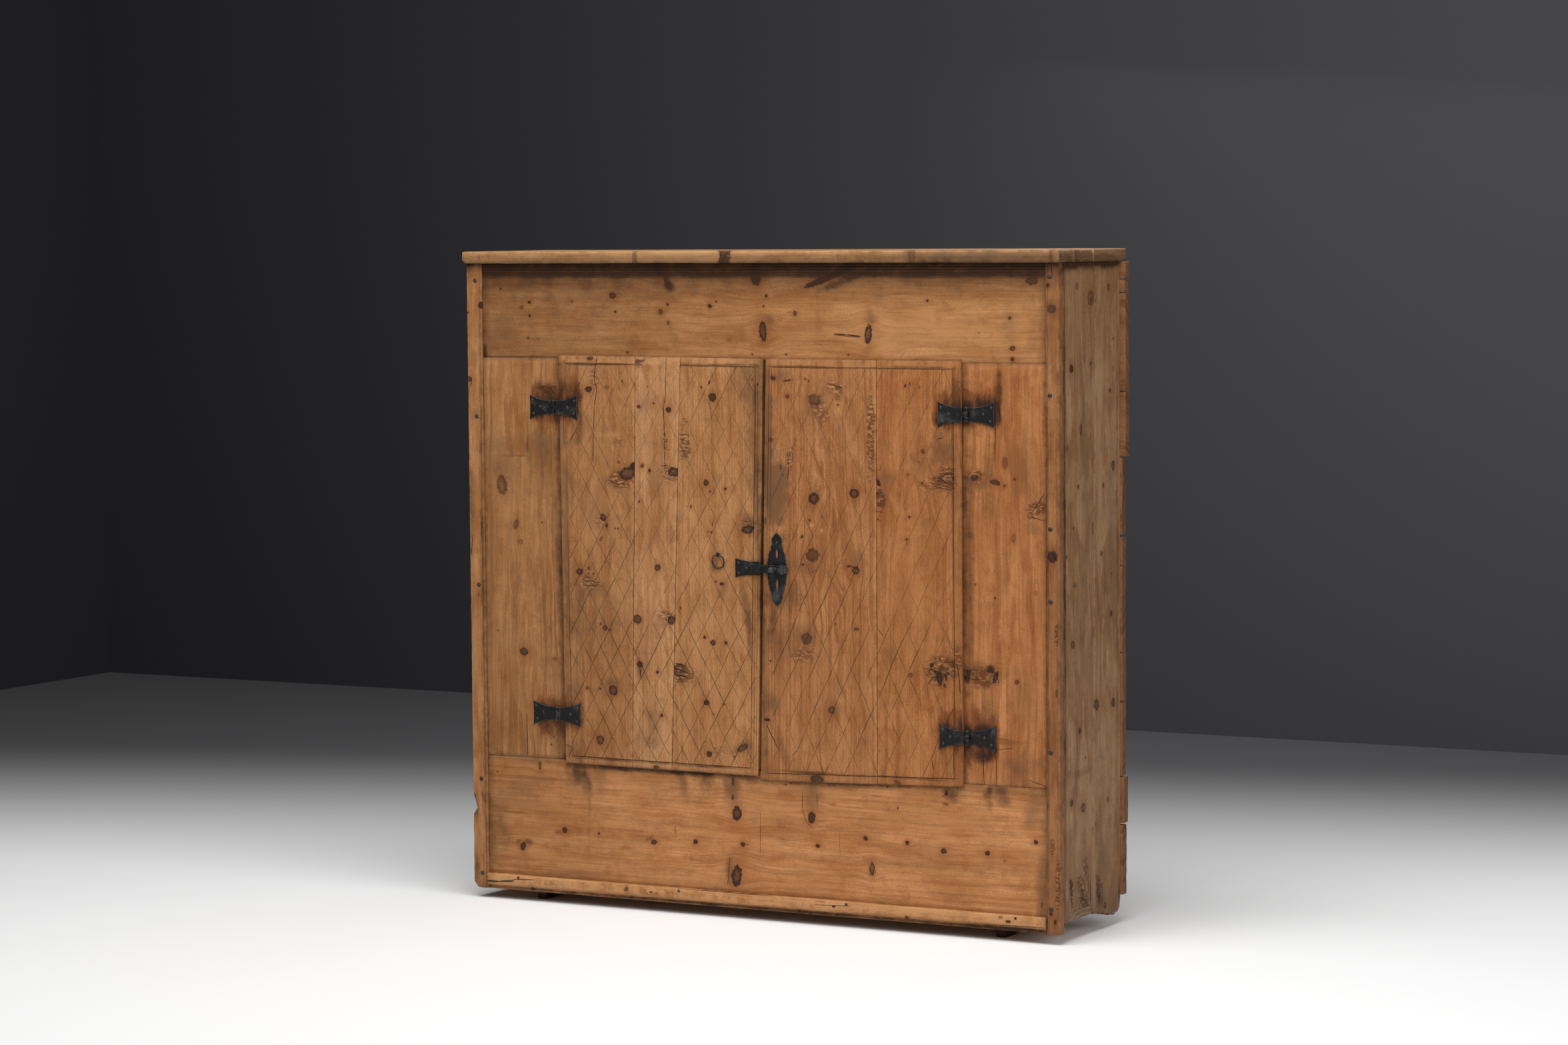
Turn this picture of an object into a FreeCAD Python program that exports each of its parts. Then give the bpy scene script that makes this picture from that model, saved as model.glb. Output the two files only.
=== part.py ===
import FreeCAD, Part
import math
import os

# A rustic pine cupboard with two plank doors, nailed together from boards, lengths in millimetres.
# Pieces are placed from the left face, the front of the corner battens and the ground.

# Case
case_width = 1312.0
case_height = 1270.0
case_depth = 283.0
ground_gap = 20.0
side_thickness = 25.0
cut_overrun = 3.0
joint_clearance = 0.2

# Corner battens that cover the front edges of the sides
batten_depth = 20.0
left_batten_width = 35.0
right_batten_width = 28.0
batten_bead = 5.0
batten_notch_height = 150.0
batten_notch_length = 47.0
batten_notch_depth = 10.0
batten_foot_round = 14.0
batten_foot_share = 0.3
batten_notch_share = 0.25

# Front boards between the battens
panel_thickness = 20.0
panel_setback = 5.0
frieze_height = 189.0
reed_band = 24.0
reed_line_shares = (0.28, 0.53, 0.77, 0.95)
groove_width = 2.6
groove_depth = 1.6
left_stile_edge = 230.0
right_stile_edge = 214.0
rail_height_left = 273.0
rail_height_right = 277.5
rail_foot = 4.0
tenon_length = 12.0
tenon_thickness = 6.0
tenon_shoulder = 28.0

# Base moulding on the foot of the lower rail
moulding_foot = 1.0
moulding_height = 31.0
moulding_proud = 6.0
moulding_profile_shares = ((0.0, 0.35), (0.22, 0.35), (0.30, 0.72), (0.74, 1.0), (0.94, 1.0), (1.0, 0.62))

# Side planks, two to a side, each foot given in shares of the plank's width and of the floor's height
side_joint_top = 171.0
side_joint_foot = 150.0
right_front_foot_shares = ((0.20, 1.0), (0.153, 0.65), (0.068, 0.40), (0.0, 0.50))
left_front_foot_shares = ((0.20, 1.0), (0.173, 0.42), (0.107, 0.30), (0.0, 0.36))
right_rear_foot_shares = ((0.06, 0.50), (0.24, 0.42), (0.736, 0.09), (0.872, 0.10), (0.968, 0.40),
                          (1.0, 0.95))
left_rear_foot_shares = ((0.064, 0.30), (0.362, 0.22), (0.787, 0.05), (0.936, 0.12), (1.0, 0.45))

# Floor boards and the bearers that lift the case
floor_height = 37.0
floor_thickness = 18.0
floor_joint = 150.0
floor_joint_gap = 0.5
floor_tongue_front = 47.0
floor_tongue_setback = 1.5
bearer_inset = 130.0
bearer_width = 21.0
bearer_front = 36.0
bearer_back_gap = 21.0

# Top boards
top_thickness = 24.0
top_front_overhang = 8.0
top_side_overhang = 5.0
top_board_joint = 151.0
top_board_gap = 0.6
top_edge_round = 3.0
top_underside_chamfer = 6.0
top_crack_length = 34.0
top_crack_width = 4.0
top_crack_place = 52.0

# Back boards, foot and head in shares of the case height, run past the sides in shares of the overrun
back_thickness = 20.0
back_overrun = 12.0
back_board_shares = (
    (0.028, 0.134, 0.40),
    (0.139, 0.209, 0.67),
    (0.212, 0.324, 0.33),
    (0.327, 0.401, 0.38),
    (0.402, 0.534, 0.33),
    (0.536, 0.574, 0.42),
    (0.583, 0.700, 0.36),
    (0.702, 0.800, 1.00),
    (0.802, 0.950, 1.00),
    (0.952, 0.969, 0.85),
    (0.973, 0.998, 1.00),
)
wide_back_board = 90.0

# Shelves on cleats
shelf_thickness = 20.0
shelf_front = 46.0
lower_shelf_height = 450.0
upper_shelf_height = 770.0
shelf_end_clearance = 0.3
cleat_section = 25.0
cleat_front = 60.0
cleat_back_gap = 18.0

# Doors, hung proud of the front boards with a lip that laps the opening
door_thickness = 23.0
door_proud = 3.0
door_seat_gap = 0.3
door_body_clearance = 2.5
door_gap = 5.0
meeting_line_top = 684.6
meeting_line_foot = 666.9
left_lap_top = 14.5
left_lap_foot = 7.0
right_lap_top = 11.0
right_lap_foot = 12.0
left_head_lap_outer = 6.7
left_head_lap_inner = 3.5
right_head_lap = 3.6
left_foot_lap_outer = 6.8
left_foot_lap_inner = 10.0
right_foot_lap_inner = 18.4
right_foot_lap_outer = 6.0
left_joint_shares = ((0.385, 0.355), (0.604, 0.559))
right_joint_shares = ((0.575, 0.586),)
plank_gap = 0.5
door_edge_round = 4.0
door_border = 16.0
border_line_width = 2.4
border_line_depth = 1.4
ledge_thickness = 18.0
ledge_height = 70.0
ledge_hinge_inset = 26.0
ledge_meeting_inset = 18.0

# Butterfly hinges
left_hinge_axis = 203.0
right_hinge_axis = 193.0
upper_hinge_drop = 98.5
lower_hinge_rise = 93.0
barrel_radius = 4.7
barrel_length = 27.0
hinge_pin_radius = 2.6
pin_clearance = 0.05
pin_head_radius = 3.8
pin_head_height = 1.4
knuckle_gap = 0.3
leaf_thickness = 2.0
leaf_root = 6.5
leaf_reach = 58.0
leaf_root_height = 27.0
leaf_end_height = 50.0
leaf_sweep_shares = (0.55, 0.25)
leaf_end_dip = 1.2
leaf_nail_shares = ((0.59, 0.02), (0.88, 0.27), (0.84, -0.25))

# Nails
nail_clearance = 0.1
case_nail_head = 4.6
case_nail_head_height = 1.8
case_nail_shank = 1.6
case_nail_length = 42.0
small_nail_head = 3.0
small_nail_head_height = 1.3
small_nail_shank = 1.2
small_nail_length = 14.0
ledge_nail_length = 33.0
head_taper_share = 0.45
top_nail_length = 60.0
moulding_nail_length = 40.0
top_nail_shares = (0.22, 0.76)
floor_nail_shares = (0.3, 0.74)
frieze_nail_shares = (0.19, 0.5, 0.81)
moulding_nail_shares = (0.06, 0.36, 0.66, 0.95)
moulding_nail_height_share = 0.84
back_nail_shares = (0.27, 0.74)
cleat_nail_shares = (0.16, 0.84)
left_batten_nail_shares = (0.024, 0.176, 0.488, 0.757, 0.973)
right_batten_nail_shares = (0.038, 0.273, 0.498, 0.606, 0.804, 0.979)
left_batten_nail_place_share = 0.60
right_batten_nail_place_share = 0.36
ledge_nail_height_share = 0.26

# Ring pull on the left door, placed from the meeting line and from the latch
eye_offset = 94.7
eye_rise = 24.6
eye_reach = 5.4
eye_wire = 1.3
eye_radius = 3.6
eye_shank_length = 12.0
eye_shank_radius = 1.5
eye_collar_radius = 2.6
eye_collar_height = 1.0
ring_wire = 1.25
ring_radius = 13.3
ring_slack = 0.5

# Latch: a pierced plate with a sliding bolt on the right door, and its keeper on the left door,
# both placed from the meeting line of the doors
latch_rise = 402.0
latch_offset = 35.3
latch_half_width = 22.6
latch_half_height = 71.5
latch_outline_shares = (
    (0.0, 1.0),
    (0.30, 0.94),
    (0.48, 0.80),
    (0.60, 0.66),
    (0.84, 0.40),
    (0.97, 0.20),
    (1.0, 0.0),
    (0.97, -0.20),
    (0.80, -0.44),
    (0.58, -0.66),
    (0.42, -0.83),
    (0.24, -0.95),
    (0.0, -1.0),
)
latch_slot_shares = ((0.28, 0.58), (-0.60, -0.24))
latch_slot_width = 5.2
latch_nail_shares = ((0.0, 0.72), (0.0, -0.74))
iron_thickness = 2.0
bolt_height = 15.0
bolt_thickness = 4.0
bolt_end_offset = 59.3
bolt_nose_reach = 1.7
bolt_clearance = 0.3
bolt_edge_round = 0.5
staple_thickness = 1.7
staple_width = 5.5
left_staple_offset = 16.3
right_staple_offset = 49.1
staple_leg_depth = 10.0
knob_offset = 32.3
knob_ball_radius = 6.0
knob_stem_radius = 3.0
knob_stem_length = 9.0
knob_collar_radius = 3.8
knob_collar_height = 1.6
knob_spigot_radius = 2.0
keeper_length = 54.0
keeper_edge_gap = 3.3
keeper_left_height = 38.0
keeper_right_height = 28.0
keeper_waist_share = 0.86
keeper_strap_length = 17.8
keeper_strap_reach = 0.1
keeper_nail_shares = ((0.14, 0.26), (0.14, -0.26), (0.46, 0.0))

# Levels and faces that follow from the sizes above
case_foot = ground_gap
case_head = ground_gap + case_height
frieze_foot = case_head - frieze_height
panel_front = panel_setback
panel_back = panel_setback + panel_thickness
right_batten_edge = case_width - right_batten_width
right_side_inner = case_width - side_thickness
opening_left = left_stile_edge
opening_right = case_width - right_stile_edge
floor_top = case_foot + floor_height
door_front = -door_proud
door_lip_back = panel_front - door_seat_gap
door_back = door_front + door_thickness
ledge_back = door_back + ledge_thickness
iron_front = door_front - iron_thickness
bolt_front = iron_front - bolt_clearance - bolt_thickness
knob_front = bolt_front - knob_stem_length - 2 * knob_ball_radius
back_rear = case_depth + back_thickness
latch_level = case_foot + rail_height_left + latch_rise
hinge_levels = (case_foot + rail_height_left + lower_hinge_rise, frieze_foot - upper_hinge_drop)
hinge_y = 0.0
front_to_middle = (knob_front + back_rear) / 2
middle = FreeCAD.Vector(-case_width / 2, -front_to_middle, 0)

Vector = FreeCAD.Vector
along_x = Vector(1, 0, 0)
along_y = Vector(0, 1, 0)
along_z = Vector(0, 0, 1)


# Shared shapes

def block(x0, x1, y0, y1, z0, z1):
    return Part.makeBox(x1 - x0, y1 - y0, z1 - z0, Vector(x0, y0, z0))


def front_prism(outline, y0, y1):
    """A board whose outline is seen from the front, as (x, z) points."""
    points = [Vector(x, y0, z) for x, z in outline]
    face = Part.Face(Part.makePolygon(points + points[:1]))
    return face.extrude(Vector(0, y1 - y0, 0))


def side_prism(outline, x0, x1):
    """A board whose outline is seen from the side, as (y, z) points."""
    points = [Vector(x0, y, z) for y, z in outline]
    face = Part.Face(Part.makePolygon(points + points[:1]))
    return face.extrude(Vector(x1 - x0, 0, 0))


def plan_prism(outline, z0, z1):
    """A board whose outline is seen from above, as (x, y) points."""
    points = [Vector(x, y, z0) for x, y in outline]
    face = Part.Face(Part.makePolygon(points + points[:1]))
    return face.extrude(Vector(0, 0, z1 - z0))


def between(start, end, share):
    return start + (end - start) * share


def v_groove(start, end, face_y, width, depth):
    """The wedge that a V plough takes out of a front face between two (x, z) points."""
    run = Vector(end[0] - start[0], 0, end[1] - start[1])
    across = run.cross(along_y)
    across.normalize()
    half = width / 2 * (1 + cut_overrun / depth)
    root = Vector(start[0], face_y, start[1])
    corners = [root + across * half - along_y * cut_overrun,
               root - across * half - along_y * cut_overrun,
               root + along_y * depth]
    face = Part.Face(Part.makePolygon(corners + corners[:1]))
    return face.extrude(run)


def rounded(shape, radius, wanted):
    """Rounds the edges whose middle point satisfies the wanted test."""
    edges = []
    for edge in shape.Edges:
        if wanted(edge.CenterOfMass, edge):
            edges.append(edge)
    return shape.makeFillet(radius, edges)


# Nails are gathered as they are placed, and every board they pass is drilled for them

drillings = []


def nail(head_seat, way, head_radius, head_height, shank_radius, length):
    """A forged nail whose faceted head sits at head_seat and whose shank goes along way."""
    head = Part.makeCone(head_radius, head_radius * head_taper_share, head_height, head_seat, way * -1)
    shank = Part.makeCylinder(shank_radius, length, head_seat, way)
    hole = Part.makeCylinder(shank_radius + nail_clearance, length + nail_clearance, head_seat, way)
    drillings.append(hole)
    return head.fuse(shank).removeSplitter()


def case_nail(head_seat, way, length=case_nail_length):
    return nail(head_seat, way, case_nail_head, case_nail_head_height, case_nail_shank, length)


def sunk_nail(face_point, way, length=case_nail_length):
    """A nail driven until its round head is flush with the board's face."""
    head = Part.makeCylinder(case_nail_head, case_nail_head_height, face_point, way)
    shank = Part.makeCylinder(case_nail_shank, length, face_point, way)
    sink_radius = case_nail_head + nail_clearance
    hole_radius = case_nail_shank + nail_clearance
    drillings.append(Part.makeCylinder(sink_radius, case_nail_head_height, face_point, way))
    drillings.append(Part.makeCylinder(hole_radius, length + nail_clearance, face_point, way))
    return head.fuse(shank).removeSplitter()


def small_nail(head_seat, way, length=small_nail_length):
    return nail(head_seat, way, small_nail_head, small_nail_head_height, small_nail_shank, length)


# Case front

def rail_top(x):
    return case_foot + between(rail_height_left, rail_height_right, x / case_width)


def panel_stock():
    """The full sheet of front boards, with a lip at each end that runs behind the battens."""
    face = block(left_batten_width, right_batten_edge, panel_front, batten_depth, case_foot, case_head)
    lip = block(side_thickness, right_side_inner, batten_depth, panel_back, case_foot, case_head)
    return face.fuse(lip).removeSplitter()


def tenon(x0, x1, z0, z1, clearance):
    middle_y = between(panel_front, panel_back, 0.5)
    half = tenon_thickness / 2 + clearance
    return block(x0 - clearance, x1 + clearance, middle_y - half, middle_y + half,
                 z0 - clearance, z1 + clearance)


stile_tenons = ((left_batten_width + tenon_shoulder, opening_left - tenon_shoulder),
                (opening_right + tenon_shoulder, right_batten_edge - tenon_shoulder))


def make_frieze():
    board = panel_stock().common(block(0, case_width, 0, case_depth, frieze_foot, case_head))
    for share in reed_line_shares:
        level = case_head - reed_band * share
        board = board.cut(v_groove((0, level), (case_width, level), panel_front, groove_width, groove_depth))
    for x0, x1 in stile_tenons:
        board = board.cut(tenon(x0, x1, frieze_foot, frieze_foot + tenon_length, joint_clearance))
    return board


def make_stile(x0, x1, tenon_span):
    outline = [(x0, rail_top(x0)), (x1, rail_top(x1)), (x1, frieze_foot), (x0, frieze_foot)]
    board = panel_stock().common(front_prism(outline, 0, case_depth))
    foot = min(rail_top(tenon_span[0]), rail_top(tenon_span[1]))
    tongue = tenon(tenon_span[0], tenon_span[1], foot - tenon_length, frieze_foot + tenon_length, 0)
    return board.fuse(tongue).removeSplitter()


def make_lower_rail():
    foot = case_foot + rail_foot
    outline = [(0, foot), (case_width, foot), (case_width, rail_top(case_width)), (0, rail_top(0))]
    board = panel_stock().common(front_prism(outline, 0, case_depth))
    for x0, x1 in stile_tenons:
        depth = min(rail_top(x0), rail_top(x1)) - tenon_length
        board = board.cut(tenon(x0, x1, depth, rail_top(case_width), joint_clearance))
    return board


def make_base_moulding():
    foot = case_foot + moulding_foot
    profile = [(panel_front, foot)]
    for height_share, proud_share in moulding_profile_shares:
        reach = (moulding_proud + panel_front) * proud_share
        profile.append((panel_front - reach, foot + moulding_height * height_share))
    profile.append((panel_front, foot + moulding_height))
    return side_prism(profile, left_batten_width, right_batten_edge)


def make_left_batten():
    low = case_foot + batten_notch_height
    corner = batten_foot_round * batten_foot_share
    outline = [(0, case_head), (0, low + batten_notch_length),
               (batten_notch_depth, low + batten_notch_length * batten_notch_share), (0, low),
               (0, case_foot + batten_foot_round), (corner, case_foot + corner),
               (batten_foot_round, case_foot), (left_batten_width, case_foot),
               (left_batten_width, case_head)]
    board = front_prism(outline, 0, batten_depth)
    line = left_batten_width - batten_bead
    return board.cut(v_groove((line, case_foot), (line, case_head), 0, groove_width, groove_depth))


def make_right_batten():
    board = block(right_batten_edge, case_width, 0, batten_depth, case_foot, case_head)
    line = right_batten_edge + batten_bead
    return board.cut(v_groove((line, case_foot), (line, case_head), 0, groove_width, groove_depth))


# Sides, floor and bearers

def foot_points(y0, y1, shares):
    return [(between(y0, y1, width_share), case_foot + floor_height * height_share)
            for width_share, height_share in shares]


def make_side_planks(x0, x1, front_foot, rear_foot):
    front_outline = [(batten_depth, case_head), (side_joint_top, case_head), (side_joint_foot, floor_top)]
    rear_outline = [(side_joint_top, case_head), (case_depth, case_head)]
    rear_outline += reversed(foot_points(side_joint_foot, case_depth, rear_foot))
    rear_outline.append((side_joint_foot, floor_top))
    front_outline += foot_points(batten_depth, side_joint_foot, front_foot)
    front = side_prism(front_outline, x0, x1)
    rear = side_prism(rear_outline, x0, x1)
    return front, rear


def make_floor_boards():
    underside = floor_top - floor_thickness
    front = block(side_thickness, right_side_inner, panel_back, floor_joint, underside, floor_top)
    tongue = block(floor_tongue_setback, case_width - floor_tongue_setback, floor_tongue_front, floor_joint,
                   underside, floor_top)
    rear = block(side_thickness, right_side_inner, floor_joint + floor_joint_gap, case_depth,
                 underside, floor_top)
    return front.fuse(tongue).removeSplitter(), rear


def make_bearer(x0):
    return block(x0, x0 + bearer_width, bearer_front, case_depth - bearer_back_gap,
                 0, floor_top - floor_thickness)


# Top and back

def make_top_board(y0, y1, is_front):
    left = -top_side_overhang
    right = case_width + top_side_overhang
    board = block(left, right, y0, y1, case_head, case_head + top_thickness)
    head = case_head + top_thickness

    def at_end(place):
        return abs(place.x - left) < joint_clearance or abs(place.x - right) < joint_clearance

    def at_front(place):
        return is_front and abs(place.y - y0) < joint_clearance

    def upper(place, edge):
        return abs(place.z - head) < joint_clearance and (at_end(place) or at_front(place))

    def lower_left(place, edge):
        return abs(place.z - case_head) < joint_clearance and abs(place.x - left) < joint_clearance

    board = rounded(board, top_edge_round, upper)
    lower_edges = [edge for edge in board.Edges if lower_left(edge.CenterOfMass, edge)]
    board = board.makeChamfer(min(top_underside_chamfer, top_thickness / 2), lower_edges)
    if is_front:
        crack = plan_prism([(right + cut_overrun, top_crack_place - top_crack_width / 2),
                            (right + cut_overrun, top_crack_place + top_crack_width / 2),
                            (right - top_crack_length, top_crack_place)],
                           case_head - cut_overrun, head + cut_overrun)
        board = board.cut(crack)
    return board


def make_back_board(foot_share, head_share, overrun_share):
    run = back_overrun * overrun_share
    return block(-run, case_width + run, case_depth, back_rear,
                 case_foot + case_height * foot_share, case_foot + case_height * head_share)


# Shelves

def make_shelf(height):
    level = case_foot + height
    return block(side_thickness + shelf_end_clearance, right_side_inner - shelf_end_clearance,
                 shelf_front, case_depth, level, level + shelf_thickness)


def make_shelf_cleats():
    cleats = []
    for height in (lower_shelf_height, upper_shelf_height):
        head = case_foot + height
        for x0 in (side_thickness, right_side_inner - cleat_section):
            cleats.append(block(x0, x0 + cleat_section, cleat_front, case_depth - cleat_back_gap,
                                head - cleat_section, head))
    return cleats


# Doors

def meeting_x(z):
    share = (z - rail_top(meeting_line_foot)) / (frieze_foot - rail_top(meeting_line_foot))
    return between(meeting_line_foot, meeting_line_top, share)


latch_line = meeting_x(latch_level)
latch_place = latch_line + latch_offset
knob_place = latch_line + knob_offset
eye_place = latch_line - eye_offset
eye_level = latch_level + eye_rise
keeper_right = latch_line - keeper_edge_gap
keeper_left = keeper_right - keeper_length
keeper_strap_right = latch_line + keeper_strap_reach
keeper_strap_left = keeper_strap_right - keeper_strap_length


def left_door_outlines():
    half_gap = door_gap / 2
    foot_outer = rail_top(opening_left) - left_foot_lap_outer
    foot_inner = rail_top(meeting_line_foot) - left_foot_lap_inner
    head_outer = frieze_foot + left_head_lap_outer
    head_inner = frieze_foot + left_head_lap_inner
    lip = [(opening_left - left_lap_foot, foot_outer), (meeting_x(foot_inner) - half_gap, foot_inner),
           (meeting_x(head_inner) - half_gap, head_inner), (opening_left - left_lap_top, head_outer)]
    inner = opening_left + door_body_clearance
    foot = rail_top(case_width / 2) + door_body_clearance
    head = frieze_foot - door_body_clearance
    body = [(inner, foot), (meeting_x(foot) - half_gap, foot),
            (meeting_x(head) - half_gap, head), (inner, head)]
    return lip, body


def right_door_outlines():
    half_gap = door_gap / 2
    foot_inner = rail_top(meeting_line_foot) - right_foot_lap_inner
    foot_outer = rail_top(opening_right) - right_foot_lap_outer
    head = frieze_foot + right_head_lap
    lip = [(meeting_x(foot_inner) + half_gap, foot_inner), (opening_right + right_lap_foot, foot_outer),
           (opening_right + right_lap_top, head), (meeting_x(head) + half_gap, head)]
    inner = opening_right - door_body_clearance
    body_foot = rail_top(case_width) + door_body_clearance
    body_head = frieze_foot - door_body_clearance
    body = [(meeting_x(body_foot) + half_gap, body_foot), (inner, body_foot),
            (inner, body_head), (meeting_x(body_head) + half_gap, body_head)]
    return lip, body


def inset_corner(corner, before, after, distance):
    """The point that lies the distance inside both sides that meet at a corner."""
    a = Vector(corner[0] - before[0], 0, corner[1] - before[1]).normalize()
    b = Vector(after[0] - corner[0], 0, after[1] - corner[1]).normalize()
    turn = a.x * b.z - a.z * b.x
    move = (b - a) * (distance / turn)
    return corner[0] + move.x, corner[1] + move.z


def make_door_slab(lip_outline, body_outline):
    """A whole door before it is parted into planks: the lapped lip, the body and the incised border."""
    lip = front_prism(lip_outline, door_front, door_lip_back)

    def front_edge(place, edge):
        return abs(place.y - door_front) < joint_clearance

    lip = rounded(lip, min(door_edge_round, (door_lip_back - door_front) / 2), front_edge)
    slab = lip.fuse(front_prism(body_outline, door_lip_back, door_back))
    count = len(lip_outline)
    inner = []
    for index in range(count):
        corner = inset_corner(lip_outline[index], lip_outline[index - 1], lip_outline[(index + 1) % count],
                              door_border)
        inner.append(corner)
    for index in range(count):
        groove = v_groove(inner[index - 1], inner[index], door_front, border_line_width, border_line_depth)
        slab = slab.cut(groove)
    return slab


def part_into_planks(slab, lip_outline, joint_shares):
    """Cuts a door slab along its plank joints, given as shares of its head and its foot."""
    foot_left, foot_right, head_right, head_left = lip_outline
    far = case_width
    lines = [(-far, -far)]
    for head_share, foot_share in joint_shares:
        lines.append((between(head_left[0], head_right[0], head_share),
                      between(foot_left[0], foot_right[0], foot_share)))
    lines.append((2 * far, 2 * far))
    foot = min(foot_left[1], foot_right[1])
    head = max(head_left[1], head_right[1])
    planks = []
    for (head0, foot0), (head1, foot1) in zip(lines, lines[1:]):
        strip = [(foot0 + plank_gap / 2, foot), (foot1 - plank_gap / 2, foot),
                 (head1 - plank_gap / 2, head), (head0 + plank_gap / 2, head)]
        planks.append(slab.common(front_prism(strip, door_front - cut_overrun, door_back + cut_overrun)))
    return planks


def ledge_span(body_outline, hinge_on_left, level):
    if hinge_on_left:
        x0 = body_outline[0][0] + ledge_hinge_inset
        return x0, meeting_x(level) - ledge_meeting_inset
    return meeting_x(level) + ledge_meeting_inset, body_outline[1][0] - ledge_hinge_inset


def make_ledges(body_outline, hinge_on_left):
    ledges = []
    for level in hinge_levels:
        x0, x1 = ledge_span(body_outline, hinge_on_left, level)
        ledges.append(block(x0, x1, door_back, ledge_back,
                            level - ledge_height / 2, level + ledge_height / 2))
    return ledges


def ledge_nails(body_outline, lip_outline, joint_shares, hinge_on_left):
    """Two nails through each ledge into each plank."""
    nails = []
    foot_left, foot_right, head_right, head_left = lip_outline
    for level in hinge_levels:
        span = ledge_span(body_outline, hinge_on_left, level)
        share = (level - foot_left[1]) / (head_left[1] - foot_left[1])
        stops = [span[0]]
        for head_share, foot_share in joint_shares:
            stops.append(between(between(foot_left[0], foot_right[0], foot_share),
                                 between(head_left[0], head_right[0], head_share), share))
        stops.append(span[1])
        for x0, x1 in zip(stops, stops[1:]):
            for side in (-1, 1):
                rise = side * ledge_height * ledge_nail_height_share
                seat = Vector((x0 + x1) / 2, ledge_back, level + rise)
                nails.append(case_nail(seat, along_y * -1, ledge_nail_length))
    return nails


# Butterfly hinges

def leaf_outline(axis_x, level, outward):
    """The leaf's spread shape, from its root beside the barrel to its pointed end corners."""
    root = leaf_root_height / 2
    end = leaf_end_height / 2
    sweep_x = between(leaf_root, leaf_reach, leaf_sweep_shares[0])
    sweep_z = between(root, end, leaf_sweep_shares[1])

    def at(distance, height):
        return Vector(axis_x + outward * distance, 0, level + height)

    dip = at(leaf_reach - leaf_end_dip, 0)
    edges = [Part.LineSegment(at(leaf_root, -root), at(leaf_root, root)).toShape(),
             Part.Arc(at(leaf_root, root), at(sweep_x, sweep_z), at(leaf_reach, end)).toShape(),
             Part.Arc(at(leaf_reach, end), dip, at(leaf_reach, -end)).toShape(),
             Part.Arc(at(leaf_reach, -end), at(sweep_x, -sweep_z), at(leaf_root, -root)).toShape()]
    return Part.Face(Part.Wire(edges))


def make_leaf(axis_x, level, outward, face_y, knuckles):
    """A leaf of iron lying on face_y, with knuckles given as (low, high) shares of the barrel."""
    leaf = leaf_outline(axis_x, level, outward).extrude(Vector(0, -leaf_thickness, 0))
    leaf.translate(Vector(0, face_y, 0))
    foot = level - barrel_length / 2
    for low, high in knuckles:
        z0 = foot + barrel_length * low + (knuckle_gap / 2 if low > 0 else 0)
        z1 = foot + barrel_length * high - (knuckle_gap / 2 if high < 1 else 0)
        barrel = Part.makeCylinder(barrel_radius, z1 - z0, Vector(axis_x, hinge_y, z0))
        x0, x1 = sorted((axis_x, axis_x + outward * leaf_root))
        web = block(x0, x1, face_y - leaf_thickness, face_y, z0, z1)
        leaf = leaf.fuse(barrel.fuse(web))
    bore = Part.makeCylinder(hinge_pin_radius + pin_clearance, leaf_end_height * 2,
                             Vector(axis_x, hinge_y, level - leaf_end_height))
    return leaf.cut(bore).removeSplitter()


def make_hinge_pin(axis_x, level):
    foot = level - barrel_length / 2
    pin = Part.makeCylinder(hinge_pin_radius, barrel_length, Vector(axis_x, hinge_y, foot))
    lower = Part.makeCone(pin_head_radius, pin_head_radius * head_taper_share, pin_head_height,
                          Vector(axis_x, hinge_y, foot), along_z * -1)
    upper = Part.makeCone(pin_head_radius, pin_head_radius * head_taper_share, pin_head_height,
                          Vector(axis_x, hinge_y, foot + barrel_length))
    return pin.fuse([lower, upper]).removeSplitter()


def leaf_nails(axis_x, level, outward, face_y):
    nails = []
    for reach_share, height_share in leaf_nail_shares:
        seat = Vector(axis_x + outward * leaf_reach * reach_share, face_y - leaf_thickness,
                      level + leaf_end_height * height_share)
        nails.append(small_nail(seat, along_y))
    return nails


# Latch, keeper and ring pull

def make_latch_plate():
    right = [(latch_place + latch_half_width * width_share, latch_level + latch_half_height * height_share)
             for width_share, height_share in latch_outline_shares]
    left = [(2 * latch_place - x, z) for x, z in reversed(right[1:-1])]
    outline = right + left
    plate = front_prism(outline, iron_front, door_front)
    for low_share, high_share in latch_slot_shares:
        low = latch_level + latch_half_height * low_share
        high = latch_level + latch_half_height * high_share
        foot = Vector(latch_place, iron_front - cut_overrun, low)
        head = Vector(latch_place, iron_front - cut_overrun, high)
        bulge = between(low, high, 0.5)
        right = Vector(latch_place + latch_slot_width / 2, iron_front - cut_overrun, bulge)
        left = Vector(latch_place - latch_slot_width / 2, iron_front - cut_overrun, bulge)
        wire = Part.Wire([Part.Arc(foot, right, head).toShape(), Part.Arc(head, left, foot).toShape()])
        slot = Part.Face(wire).extrude(Vector(0, iron_thickness + 2 * cut_overrun, 0))
        plate = plate.cut(slot)
    return plate


def staple(x0, x1, leg_depth, clearance):
    """A strap bent over the bolt, with legs that go through the plate into the door."""
    inner = bolt_height / 2 + bolt_clearance
    outer = inner + staple_thickness
    back = door_front + leg_depth
    front = bolt_front - bolt_clearance - staple_thickness
    body = block(x0 - clearance, x1 + clearance, front, back + clearance, latch_level - outer - clearance,
                 latch_level + outer + clearance)
    hollow = block(x0 - cut_overrun, x1 + cut_overrun, front + staple_thickness, back + cut_overrun,
                   latch_level - inner + clearance, latch_level + inner - clearance)
    return body.cut(hollow)


staple_spans = [(latch_line + offset - staple_width / 2, latch_line + offset + staple_width / 2)
                for offset in (left_staple_offset, right_staple_offset)]


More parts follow.
